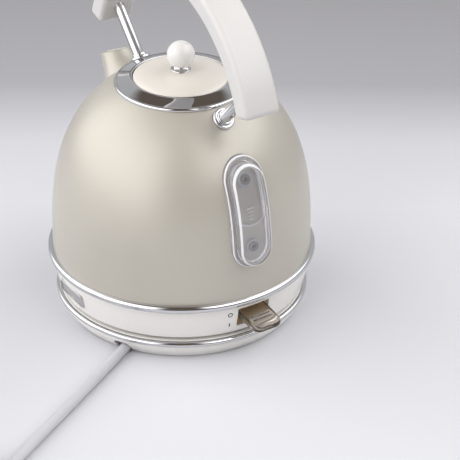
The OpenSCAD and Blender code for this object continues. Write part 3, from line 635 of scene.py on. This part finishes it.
def makeDome(shape):
    foot, low = kettle["footRadius"], kettle["domeFoot"] - shape["skirt"]
    inner = domeOutline(-shape["wall"], 60)[::-1]
    profile = np.vstack([[(foot, low)], domeOutline(0, 88), inner, [(foot - shape["wall"], low)]])
    piece = toMesh("domeSkin", *turned(profile, shape["segments"]))
    holes = [holeCutter(z, shape["holeRadius"], shape["holeDepth"]) for z in shape["gaugeHoles"]]
    cutBy(piece, [spoutCutter(spout)] + holes)
    centre = np.empty(len(piece.data.polygons) * 3)
    piece.data.polygons.foreach_get("center", centre)
    x, y, z = centre.reshape(-1, 3).T / mm
    inside = np.hypot(x, y) < domeRadius(np.maximum(z, kettle["domeFoot"] + 0.1), -shape["skin"])
    finishPiece(sharpen(piece), "kettle", paint, ["dome_shell"])
    addFinish(piece, steel, inside)


makeDome(dome)
makeSpout(spout)
print("dome and spout made")

trimRings = [
    {"piece": "upperTrimBead", "body": "kettle", "stands": "upper_trim_ring", "inner": 91.45, "outer": 95.0,
     "low": 41.5, "height": 5.7},
    {"piece": "baseTrimBead", "body": "power_base", "stands": "base_trim_ring", "inner": 86.85, "outer": 90.0,
     "low": 11.5, "height": 4.0},
]
collar = {
    "neck": 33.4, "wall": 1.3, "rise": 4.7, "depth": 14.3, "ledge": 2.2, "ledgeThick": 1.2, "ease": 0.2,
    "bead": 1.6, "beadOut": 0.7, "slopeOut": 1.0, "slopeUp": 1.2, "sag": 0.2, "lip": 0.65, "sunk": 1.4,
    "segments": 256,
}


# Half-round bead on a flat back, its back corners eased
def beadProfile(ring, ease=0.15):
    r, inner = ring["height"] / 2, ring["inner"]
    middle = ring["low"] + r
    front = arc(ring["outer"] - r, middle, r, -90, 90, 25)
    back = [(inner + ease, middle + r), (inner, middle + r - ease)]
    return np.vstack([front, back, [(inner, middle - r + ease), (inner + ease, middle - r)]])


def makeTrimRings(rings):
    for ring in rings:
        piece = sharpen(toMesh(ring["piece"], *turned(beadProfile(ring))))
        finishPiece(piece, ring["body"], chrome, [ring["stands"]])


# Collar profile: outer bead, hollow slope that sags by a sine, rim arc, neck and the ledge under the lid
def makeCollar(shape):
    outer, crown = kettle["crown"], domeHeight(kettle["crown"])
    neck, wall, lip, ease, rise = pick(shape, "neck wall lip ease rise")
    rim, floor = crown + rise, crown + rise - shape["depth"]
    bead = arc(outer + shape["beadOut"], crown, shape["bead"], -62, 118, 17)
    t = np.linspace(0.06, 0.96, 22)
    footX, footZ = outer + shape["slopeOut"], crown + shape["slopeUp"]
    sag = shape["sag"] * np.sin(math.pi * t)
    slope = columns(footX + (neck + wall - footX) * t, footZ + (rim - footZ) * t - sag)
    inner, shelf, low = neck - shape["ledge"], floor + shape["ledgeThick"], crown - shape["sunk"]
    ledge = [
        (neck, shelf), (inner + ease, shelf), (inner, shelf - ease), (inner, floor),
        (neck + wall, floor), (neck + wall, low), (outer - ease, low),
    ]
    profile = np.vstack([bead, slope, arc(neck + lip, rim - lip, lip, 75, 180, 9), ledge])
    piece = sharpen(toMesh("lidCollarRing", *turned(profile, shape["segments"])))
    finishPiece(piece, "kettle", chrome, ["lid_collar"])
    return rim


makeTrimRings(trimRings)
rimHeight = makeCollar(collar)
print("rings and collar made")

housing = {
    "wall": 2.5, "lipWidth": 8.0, "lip": 2.5, "edge": 0.7,
    "slotWidth": 25.5, "slotHeight": 15.0, "slotRadius": 1.0, "slotMiddle": 31.15, "slotAzimuth": 1.5,
    "slotEdge": 0.6, "slotCut": (82, 96),
}
base = {
    "footRadius": 82.0, "radius": 88.0, "low": 0.6, "footEdge": 0.5, "flankTop": 11.5, "seat": 86.8,
    "top": 15.7, "wall": 2.4, "deck": 2.4, "tower": 17.8, "edge": 0.8, "holeEdge": 0.6,
    "notchAzimuth": -60.2, "notchWidth": 12.0, "notchFoot": -1, "notchTop": 8.6, "notchRadius": 3.0,
    "notchEdge": 0.7, "notchCut": (74.4, 95),
}
badge = {
    "azimuth": -90.0, "width": 30.0, "height": 11.0, "radius": 2.5, "least": 0.3, "middle": 29.45,
    "levels": [     # inset and lift of each loop: back edge, rim, step down to the plate, plate
        (0, -0.3), (0, 0.9), (0.12, 1.2), (0.4, 1.4), (0.9, 1.4), (1.2, 1.2), (1.35, 0.9), (1.6, 0.82),
        (2.2, 0.82), (2.8, 0.82), (3.4, 0.82), (4.0, 0.82), (4.6, 0.82), (5.2, 0.82),
    ],
    "step": (5, 7),     # the loops that the dark step inside the rim lies between: painted shade in the groove
}


# Band profile: eased lower edge, flared outside, eased upper edge, and a lip inwards above and below
def makeHousing(shape):
    low, high = pick(kettle, "housingFoot ringFoot")
    e, lip, azimuth = pick(shape, "edge lip slotAzimuth")
    width, height, middle = pick(shape, "slotWidth slotHeight slotMiddle")
    z = np.linspace(low + e, high - e, 40)
    outer = columns(housingRadius(z), z)
    lowEdge = arc(housingRadius(low) - e, low + e, e, -90, 0, 7)[:-1]
    highEdge = arc(housingRadius(high) - e, high - e, e, 0, 90, 7)[1:]
    z = np.linspace(high - lip, low + lip, 12)
    inner = columns(housingRadius(z) - shape["wall"], z)
    upper, lower = [radius - shape["lipWidth"] for radius in pick(kettle, "housingHigh housingLow")]
    lips = [(upper, high), (upper, high - lip)]
    feet = [(lower, low + lip), (lower, low)]
    profile = np.vstack([lowEdge, outer, highEdge, lips, inner, feet])
    piece = toMesh("housingBand", *turned(profile))
    outline = boxOutline(width, height, shape["slotRadius"]) + (0, middle)
    cutBy(piece, [prismAlong(outline, shape["slotCut"], azimuth)])
    sharpen(piece)
    heights = (middle - height / 2, middle + height / 2)
    easeCut(piece, azimuth, width / 2, heights, housingRadius, shape["slotEdge"])
    finishPiece(piece, "kettle", cream, ["bottom_housing"])


# Radius of the base's flank at height z: a quarter sine wave from its foot to its full radius
def flankRadius(z):
    t = np.clip((z - base["low"]) / (base["flankTop"] - base["low"]), 0, 1)
    return base["footRadius"] + (base["radius"] - base["footRadius"]) * np.sin(math.pi / 2 * t)


# Base profile: foot edge, flank, seat of the trim ring, shoulder, top, the tower's hole, and back underneath
def makeBase(shape):
    low, top, seat, tower, flankTop, wall = pick(shape, "low top seat tower flankTop wall")
    f, e, h = pick(shape, "footEdge edge holeEdge")
    z = np.linspace(low + f, flankTop, 24)
    outer = columns(flankRadius(z), z)
    foot = arc(flankRadius(low + f) - f, low + f, f, -90, -20, 5)
    shoulder = arc(seat - e, top - e, e, 0, 90, 7)
    hole = arc(tower + h, top - h, h, 90, 180, 5)
    under = [(tower, top - shape["deck"]), (seat - wall, top - shape["deck"])]
    z = np.linspace(flankTop, low, 14)
    inner = columns(np.minimum(flankRadius(z), seat) - wall, z)
    profile = np.vstack([foot, outer, [(seat, flankTop)], shoulder, hole, under, inner])
    piece = toMesh("baseSkin", *turned(profile))
    width, foot, top, r, azimuth = pick(shape, "notchWidth notchFoot notchTop notchRadius notchAzimuth")
    half = width / 2
    right = arc(half - r, top - r, r, 0, 90, 8)
    left = right[::-1] * (-1, 1)
    outline = np.vstack([[(half, foot)], right, left, [(-half, foot)]])
    cutBy(piece, [prismAlong(outline, shape["notchCut"], azimuth)])
    easeCut(piece, azimuth, half, (foot, top), flankRadius, shape["notchEdge"])
    finishPiece(piece, "power_base", cream, ["base_shell"])


# Plate laid on the band: loops of one rounded rectangle, each shrunk by an inset and lifted by a height
def makeBadge(shape):
    width, height, radius, least, middle, azimuth = pick(shape, "width height radius least middle azimuth")
    rows = []
    for inset, lift in shape["levels"]:
        outline = boxOutline(width - 2 * inset, height - 2 * inset, max(radius - inset, least), 10)
        rows.append(onHousing(outline + (0, middle), lift, azimuth))
    piece = sharpen(toMesh("badgePlate", *capped(rows)), 50)
    finishPiece(piece, "kettle", satin, ["badge_plate"])
    n, (first, last) = len(rows[0]), shape["step"]
    k = np.arange(len(piece.data.polygons))
    # The step down inside the rim is painted dark: painted shade
    addFinish(piece, paintedShadeSteel, (k >= first * n) & (k < last * n))


makeHousing(housing)
makeBase(base)
makeBadge(badge)
print("housing and base made")

gauge = {
    "middle": 108.0, "length": 75.0, "width": 30.5, "out": 7.6, "wall": 1.8, "flange": 2.2,
    "flangeWidth": 2.6, "flangeEdge": 0.7, "step": [(-0.5, 0), (-0.1, 0.35), (0, 0.9)],
    "sunk": 0.05, "draft": 0.2, "edge": 1.8, "innerEdge": 1.0, "points": 128, "rings": 5,
    "highlightRows": [(1, 6), (12, 16)],      # rows of the two rounded edges, made milky as a painted highlight of the light they catch
}
gaugeMarks = {
    "top": 140.0, "low": 102.5, "half": 9.6, "lift": 1.2, "corner": 3.0, "footSag": 1.6, "line": 0.6,
    "ticks": [(9.8, 2.8), (7.4, 1.8), (5.0, 1.8), (2.6, 1.8)],      # height over the low edge, half length
    "tickLine": 0.42,
}


# Window on the dome: loops of one stadium, each shrunk by an inset and laid at a height over the dome
def gaugeLoop(inset, lift):
    outline = stadiumOutline(gauge["width"] - 2 * inset, gauge["length"] - 2 * inset, gauge["points"])
    return onDome(outline + (0, gauge["middle"]), lift)


# Loops round an edge, along an arc of the edge's radius that ends level
def gaugeEdge(inset, lift, radius, start, count):
    return [gaugeLoop(inset + radius - x, z) for x, z in arc(0, lift, radius, start, 90, count)]


# Fills a loop's inside with shrinking loops down to the stadium's spine, so that the cover stays curved
def coverLoops(inset, lift):
    spine = gauge["width"] / 2 - inset - tiny
    return [gaugeLoop(inset + spine * t, lift) for t in np.linspace(0, 1, gauge["rings"] + 1)[1:]]


def makeGauge(shape):
    out, wall, flange, wide = pick(shape, "out wall flange flangeWidth")
    e, edge, draft, n = pick(shape, "flangeEdge edge draft points")
    rows = [gaugeLoop(0, shape["sunk"]), gaugeLoop(0, flange - e)] + gaugeEdge(0, flange - e, e, 15, 5)
    rows += [gaugeLoop(wide + inset, flange + lift) for inset, lift in shape["step"]]
    rows += [gaugeLoop(wide + draft, out - edge)] + gaugeEdge(wide + draft, out - edge, edge, 10, 7)
    rows += coverLoops(wide + draft + edge, out)
    inset, top, edge = wide + wall, out - wall, shape["innerEdge"]
    inner = [gaugeLoop(inset, shape["sunk"]), gaugeLoop(inset + draft, top - edge)]
    inner += gaugeEdge(inset + draft, top - edge, edge, 15, 4) + coverLoops(inset + draft + edge, top)
    start, k = len(rows) * n, np.arange(n)
    faces = [
        gridFaces(len(rows), n, False, True), gridFaces(len(inner), n, False, True) + start,
        columns(k, (k + 1) % n, start + (k + 1) % n, start + k),
    ]
    piece = sharpen(toMesh("gaugeWindow", np.vstack(rows + inner), np.vstack(faces)), 45)
    finishPiece(piece, "kettle", clearPlastic, ["gauge_window"])
    k = np.arange(len(piece.data.polygons)) // n
    # The rounded edges get the milky finish: painted highlight
    addFinish(piece, milkyHighlightPlastic, sum((k >= first) & (k < last) for first, last in shape["highlightRows"]))


# Raised line: a small half-round bead along a closed or open path of (y, z) laid over the dome
def gaugeLine(path, half, lift, closed=False):
    ahead = np.roll(path, -1, 0) - np.roll(path, 1, 0)
    if not closed:
        ahead[0], ahead[-1] = path[1] - path[0], path[-1] - path[-2]
    side = columns(-ahead[:, 1], ahead[:, 0]) / np.linalg.norm(ahead, axis=1)[:, None]
    rows = [onDome(path + side * x, z) for x, z in arc(0, lift, half, 0, 180, 7)]
    return np.stack(rows, 1).reshape(-1, 3), gridFaces(len(path), len(rows), closed, False)


# Shield-shaped line inside the window, its lower edge a shallow arc, with a column of plain ticks over it
def makeGaugeLines(shape):
    half, low, top, corner = pick(shape, "half low top corner")
    straight = top - half
    arch = arc(0, straight, half, 0, 180, 40)
    drop = np.linspace(straight, low + corner, 20)[1:]
    left = columns(-half, drop)
    turnIn = arc(-half + corner, low + corner, corner, 180, 263.077, 10)
    x = np.linspace(-half + corner, half - corner, 16)[1:]
    foot = columns(x, low - shape["footSag"] * (1 - (x / (half - corner)) ** 2))
    turnOut, right = turnIn[::-1] * (-1, 1), left[::-1] * (-1, 1)
    loop = np.vstack([arch, left, turnIn[1:], foot, turnOut[1:], right[1:-1]])
    parts = [gaugeLine(loop, shape["line"], shape["lift"], True)]
    for height, wide in shape["ticks"]:
        bar = columns(np.linspace(-wide, wide, 5), low + height)
        parts.append(gaugeLine(bar, shape["tickLine"], shape["lift"]))
    finishPiece(joinMeshes("gaugeLines", parts), "kettle", frosted)


makeGauge(gauge)
makeGaugeLines(gaugeMarks)
print("gauge made")

handle = {"radius": 99.0, "middle": 156.0, "end": 16.5, "width": 27.0, "thick": 14.5, "edge": 3.5}
stud = {
    "foot": 53.0, "angle": 45.0, "radius": 4.0, "flange": 7.6, "flangeHeight": 3.0, "flangeEdge": 1.2,
    "collar": 5.4, "collarHeight": 2.4, "collarEdge": 0.8, "ease": 0.3, "sunk": 0.9, "into": 5.5,
    "segments": 72,
}


# Rounded rectangle carried along an arc; near each end it shrinks along a quarter circle to a flat face
def makeHandle(shape):
    r, edge, width, thick = pick(shape, "radius edge width thick")
    length = math.radians(180 - 2 * shape["end"]) * r
    ends = edge * (1 - np.cos(np.linspace(0, math.pi / 2, 9)))
    s = np.concatenate([ends, np.linspace(edge, length - edge, 110)[1:-1], length - ends[::-1]])
    inset = edgeDrop(edge - np.minimum(s, length - s), edge)
    rows = []
    for angle, cut in zip(math.radians(shape["end"]) + s / r, inset):
        outline = boxOutline(thick - 2 * cut, width - 2 * cut, max(edge - cut, tiny))
        reach = r + outline[:, 0]
        up = shape["middle"] + reach * math.sin(angle)
        rows.append(columns(reach * math.cos(angle), outline[:, 1], up))
    piece = sharpen(toMesh("handleArch", *capped(rows)), 50)
    finishPiece(piece, "kettle", handleWhite, ["handle"])


# Stud: rod, small collar and a flange with a rounded rim, turned about its tilted axis into the handle
def makeStud(shape, side, name, node):
    t = math.radians(shape["angle"])
    f, fe, low, c, ce = pick(shape, "flange flangeEdge flangeHeight collar collarEdge")
    r, x, ease, sunk = pick(shape, "radius foot ease sunk")
    z, high = domeHeight(x), low + shape["collarHeight"]
    inner, drop = handle["radius"] - handle["thick"] / 2, z - handle["middle"]
    half = x * math.sin(t) + drop * math.cos(t)
    reach = math.sqrt(half ** 2 - x ** 2 - drop ** 2 + inner ** 2) - half + shape["into"]
    profile = np.vstack([
        [(0, -sunk), (f, -sunk)], arc(f - fe, low - fe, fe, 0, 90, 7),
        [(c + ease, low), (c, low + ease)], arc(c - ce, high - ce, ce, 0, 90, 6),
        [(r + ease / 2, high), (r, high + 0.2), (r, reach), (0, reach)],
    ])
    axis = (side * math.sin(t), 0, math.cos(t))
    piece = toMesh(name, *turnedAbout(profile, (side * x, 0, z), axis, shape["segments"]))
    finishPiece(sharpen(piece, 40), "kettle", chrome, [node])


makeHandle(handle)
makeStud(stud, 1, "rearStud", "handle_stud_rear")
makeStud(stud, -1, "frontStud", "handle_stud_front")
print("handle made")

lever = {
    "width": 22.5, "thick": 5.4, "slope": 8.0, "out": 20.0, "tip": 6.0, "edge": 1.5, "boss": 3.6,
    "pivot": (80.051, 33.75), "neck": 5.0, "plainEdge": 3.5,
    "ridges": (9.0, 12.5), "ridgeHeight": 0.75, "ridgeWidth": 0.62,
}
marks = {  # ring and bar beside the slot
    "azimuth": -10.2, "lift": 0.03, "points": 40,
    "ring": (1.85, 1.1), "ringHeight": 34.8, "bar": (0.45, 1.6), "barHeight": 26.0,
}
lid = {
    "radius": 32.9, "edgeDrop": 1.2, "rise": 4.4, "thick": 1.4, "centre": 3.0, "foot": 1.0, "ease": 0.3,
    "segments": 192,
}
knob = {
    "collar": 7.0, "collarHeight": 3.0, "ball": 9.6, "height": 20.6, "neck": 4.2, "waist": 4.3,
    "waistTop": 4.1, "flarePower": 2.2, "flareIn": 0.7, "flareUp": (0.85, 2.9), "footEdge": 0.5,
    "footUp": 0.35, "lift": 0.02, "segments": 96,
}


# Side outline of the lever (x, z) about its pivot: nose, back with bell-shaped ridges, boss, underside
def leverOutline(reach, thick, ridges):
    h, neck = thick / 2, lever["neck"]
    x, z = np.linspace(reach - h, neck, 60)[1:], h
    for place in ridges:
        z = z + lever["ridgeHeight"] * np.exp(-((x - place) / lever["ridgeWidth"]) ** 2)
    under = np.linspace(neck, reach - h, 14)[:-1]
    return np.vstack([
        arc(reach - h, 0, h, -90, 90, 15), columns(x, z), arc(0, 0, lever["boss"], 60, 300, 25),
        columns(under, -h),
    ])


# The side outline, repeated across the width, shorter at the rounded tip and thinner at the rounded edges
def makeLever(shape):
    t, (px, pz) = math.radians(shape["slope"]), shape["pivot"]
    full = (housingRadius(housing["slotMiddle"]) + shape["out"] - px) / math.cos(t)
    half, e, tip = shape["width"] / 2, shape["edge"], shape["tip"]
    edge = half - e * (1 - np.cos(np.linspace(0, math.pi / 2, 8)))
    u = np.concatenate([edge, np.linspace(half - e, 0, 14)[1:]])
    rows = []
    for side in np.concatenate([-u, u[::-1][1:]]):
        into = abs(side) - half
        reach, drop = full - edgeDrop(into + tip, tip), edgeDrop(into + e, e)
        ridges = [full - place for place in shape["ridges"] if -into > shape["plainEdge"]]
        x, z = leverOutline(reach - drop / 2, shape["thick"] - 2 * drop, ridges).T
        out, up = px + x * math.cos(t) + z * math.sin(t), pz - x * math.sin(t) + z * math.cos(t)
        rows.append(atAzimuth(out, side, up, housing["slotAzimuth"]))
    piece = sharpen(toMesh("switchPaddle", *capped(rows)), 40)
    finishPiece(piece, "switch", smokePlastic, ["switch_lever"])


# Flat ring and bar, laid on the band
def makeMarks(shape):
    n, lift, azimuth = pick(shape, "points lift azimuth")
    ring = np.vstack([circleOutline(r, n) for r in shape["ring"]]) + (0, shape["ringHeight"])
    bar = np.array([(-1, -1), (1, -1), (1, 1), (-1, 1)]) * shape["bar"] + (0, shape["barHeight"])
    ringPart = onHousing(ring, lift, azimuth), gridFaces(2, n, False, True)
    barPart = onHousing(bar, lift, azimuth), [[0, 1, 2, 3]]
    finishPiece(joinMeshes("switchMarks", [ringPart, barPart]), "kettle", printInk)


# Lid profile: a quarter ellipse outside and another inside, from the edge to a small flat middle
def makeLid(shape):
    edge, top = rimHeight - shape["edgeDrop"], rimHeight + shape["rise"]
    r, t, flat, ease = pick(shape, "radius thick centre ease")
    quarter = arc(0, 0, 1, 2, 90, 30)
    outer = (flat, edge) + quarter * (r - flat, top - edge)
    inner = (flat, edge - t) + quarter * (r - t - flat, top - edge)
    low = edge - shape["foot"]
    foot = [(r - ease, low), (r, low + ease)]
    profile = np.vstack([foot, outer, [(0, top), (0, top - t)], inner[::-1], [(r - t, low)]])
    piece = sharpen(toMesh("lidCap", *turned(profile, shape["segments"])), 50)
    # The lid wears the paler copy of the dome paint: painted light
    finishPiece(piece, "lid", paintLitCopy, ["lid_cap"])


# Ball cut off by its neck, on a flare whose radius falls by a power of the height left
def makeKnob(shape):
    top = rimHeight + lid["rise"]
    ball, c, waist, (start, end) = pick(shape, "ball collar waist flareUp")
    low, middle = top + shape["collarHeight"], top + shape["height"] - ball
    sphere = arc(0, middle, ball, math.degrees(math.asin((low - middle) / ball)), 90, 40)
    sphere[-1, 0] = 0
    profile = np.vstack([[(0, low), (shape["neck"], low)], sphere])
    piece = sharpen(toMesh("knobBall", *turned(profile, shape["segments"])), 50)
    finishPiece(piece, "lid", cream, ["knob"])
    foot = arc(c - shape["footEdge"], top + shape["footUp"], shape["footEdge"], 0, 80, 6)
    t = np.linspace(0, 1, 10)[1:]
    x = waist + (c - shape["flareIn"] - waist) * (1 - t) ** shape["flarePower"]
    z = top + start + (end - start) * t
    under = [(0, top + shape["lift"]), (c, top + shape["lift"])]
    profile = np.vstack([under, foot, columns(x, z), [(shape["waistTop"], low), (0, low)]])
    piece = sharpen(toMesh("knobFlare", *turned(profile, shape["segments"])), 50)
    finishPiece(piece, "lid", chrome, ["knob_collar"])


makeLever(lever)
makeMarks(marks)
makeLid(lid)
makeKnob(knob)
print("switch, lid and knob made")

floorSetup = {
    "size": 6.0, "near": -0.2, "far": 0.53,     # metres from the axis, towards the camera and away from it
    # Floor colour by distance along the view, darker away from the camera: painted shade of the light falling
    # off
    "stops": [
        (0.0, (0.605, 0.610, 0.640)), (0.45, (0.600, 0.605, 0.635)), (0.6, (0.510, 0.513, 0.541)),
        (0.75, (0.315, 0.315, 0.333)), (1.0, (0.262, 0.258, 0.272)),
    ],
}
studio = {
    "walls": (1.10, 1.10, 1.12), "dark": (0.290, 0.240, 0.195), "front": (0.30, 0.295, 0.29),
    "ceiling": (0.62, 0.76),        # height of the unit direction where the walls end, and where all is dark
    "facing": (-1.2, 1.3, 0.5),     # start and end of the dim front, radians from the camera, and its blur
    "gap": (-0.20, 1.15, 0.10),     # the same for the dark gap in it
    "left": {"turn": (-2.3, -0.34, 0.16), "height": (0.02, 0.84, 0.16), "colour": (4.6, 4.58, 4.60)},
    "right": {"turn": (0.42, 2.4, 0.16), "height": (0.40, 0.90, 0.08), "colour": (4.9, 4.9, 4.92)},
    "strength": 0.515,
}
topLight = {"place": (0.25, -0.35, 2.2), "aim": (0, 0, 0.1), "size": (2.2, 2.0), "power": 15}


def makeFloor(setup):
    points = np.array([[-1, -1, 0], [1, -1, 0], [1, 1, 0], [-1, 1, 0]]) * setup["size"] / 2 / mm
    floor = toMesh("floor", points, [[0, 1, 2, 3]])
    g = Graph("floorWithPaintedFalloff")
    a = math.radians(cameraSetup["azimuth"])
    along = g.dot(g.coords(), (-math.sin(a), math.cos(a), 0))
    sockets = {"Value": along, "From Min": setup["near"], "From Max": setup["far"]}
    # Darker further from the camera: painted shade
    depth = g.add("ShaderNodeMapRange", None, sockets)
    paintedFalloff = g.add("ShaderNodeValToRGB", {"stops": setup["stops"]}, {0: depth})
    floor.data.materials.append(g.surface(Base_Color=paintedFalloff, Roughness=0.9))


def makeTopLight(setup):
    light = bpy.data.objects.new("top", bpy.data.lights.new("top", "AREA"))
    light.data.shape = "RECTANGLE"
    light.data.size, light.data.size_y = setup["size"]
    light.data.energy = setup["power"]
    back = (Vector(setup["place"]) - Vector(setup["aim"])).normalized()
    right = Vector((0, 0, 1)).cross(back).normalized()
    light.matrix_world = standing(setup["place"], right, back.cross(right), back)
    light.visible_glossy = False
    bpy.context.scene.collection.objects.link(light)


# Pale walls up to a height, a dark ceiling, and two tall soft panels in front with a dark gap between them.
# The camera's own view, and what shows through clear plastic, is the pale walls all round
def makeWorld(setup):
    world = bpy.data.worlds.new("studio")
    bpy.context.scene.world = world
    g = Graph("studio", world)
    at = g.add("ShaderNodeTexCoord", out="Generated")
    a = math.radians(cameraSetup["azimuth"])
    height = g.dot(at, (0, 0, 1))
    rightwards = g.dot(at, (math.cos(a), math.sin(a), 0))
    turn = g.math("ARCTAN2", rightwards, g.dot(at, (math.sin(a), -math.cos(a), 0)))

    def between(value, low, high, soft):
        return g.rise(value, low - soft, low + soft) * (1 - g.rise(value, high - soft, high + soft))

    room = g.mix(between(turn, *setup["facing"]), setup["walls"], setup["front"])
    dark = g.math("MAXIMUM", g.rise(height, *setup["ceiling"]), between(turn, *setup["gap"]))
    room = g.mix(dark, room, setup["dark"])
    for panel in (setup["left"], setup["right"]):
        lit = between(turn, *panel["turn"]) * between(height, *panel["height"])
        room = g.mix(lit, room, panel["colour"])
    rays = [g.add("ShaderNodeLightPath", out=kind) for kind in ("Is Camera Ray", "Is Transmission Ray")]
    colour = g.mix(g.math("MAXIMUM", *rays), room, setup["walls"])
    back = g.add("ShaderNodeBackground", None, {"Color": colour, "Strength": setup["strength"]})
    g.tree.links.new(back.socket, g.output.inputs["Surface"])


makeFloor(floorSetup)
makeWorld(studio)
makeTopLight(topLight)
bpy.context.scene.view_settings.view_transform = "Standard"
print("floor and lights placed")

slotFinishes = {
    "dome_paint": paint, "cream_plastic": cream, "handle_plastic": handleWhite, "chrome": chrome,
    "steel": steel, "clear_plastic": clearPlastic, "smoke_plastic": smokePlastic, "silicone": silicone,
    "bracket_plastic": bracketPaintedLight, "inner_plastic": innerPlastic, "dark_rubber": darkRubber,
    "brass": brass, "aluminium": aluminium, "cord_plastic": cordPlastic,
}
nodeFinishes = {"gauge_bushings": paintedShadeSteel}      # nodes that look unlike the rest of their slot: the gauge bushings dark, as painted shade of the holes
for entry in frame["record"]["subparts"]:
    mesh = nodes[entry["node"]].data
    mesh.materials.clear()
    mesh.materials.append(nodeFinishes.get(entry["node"], slotFinishes[entry["material_slot"]]))
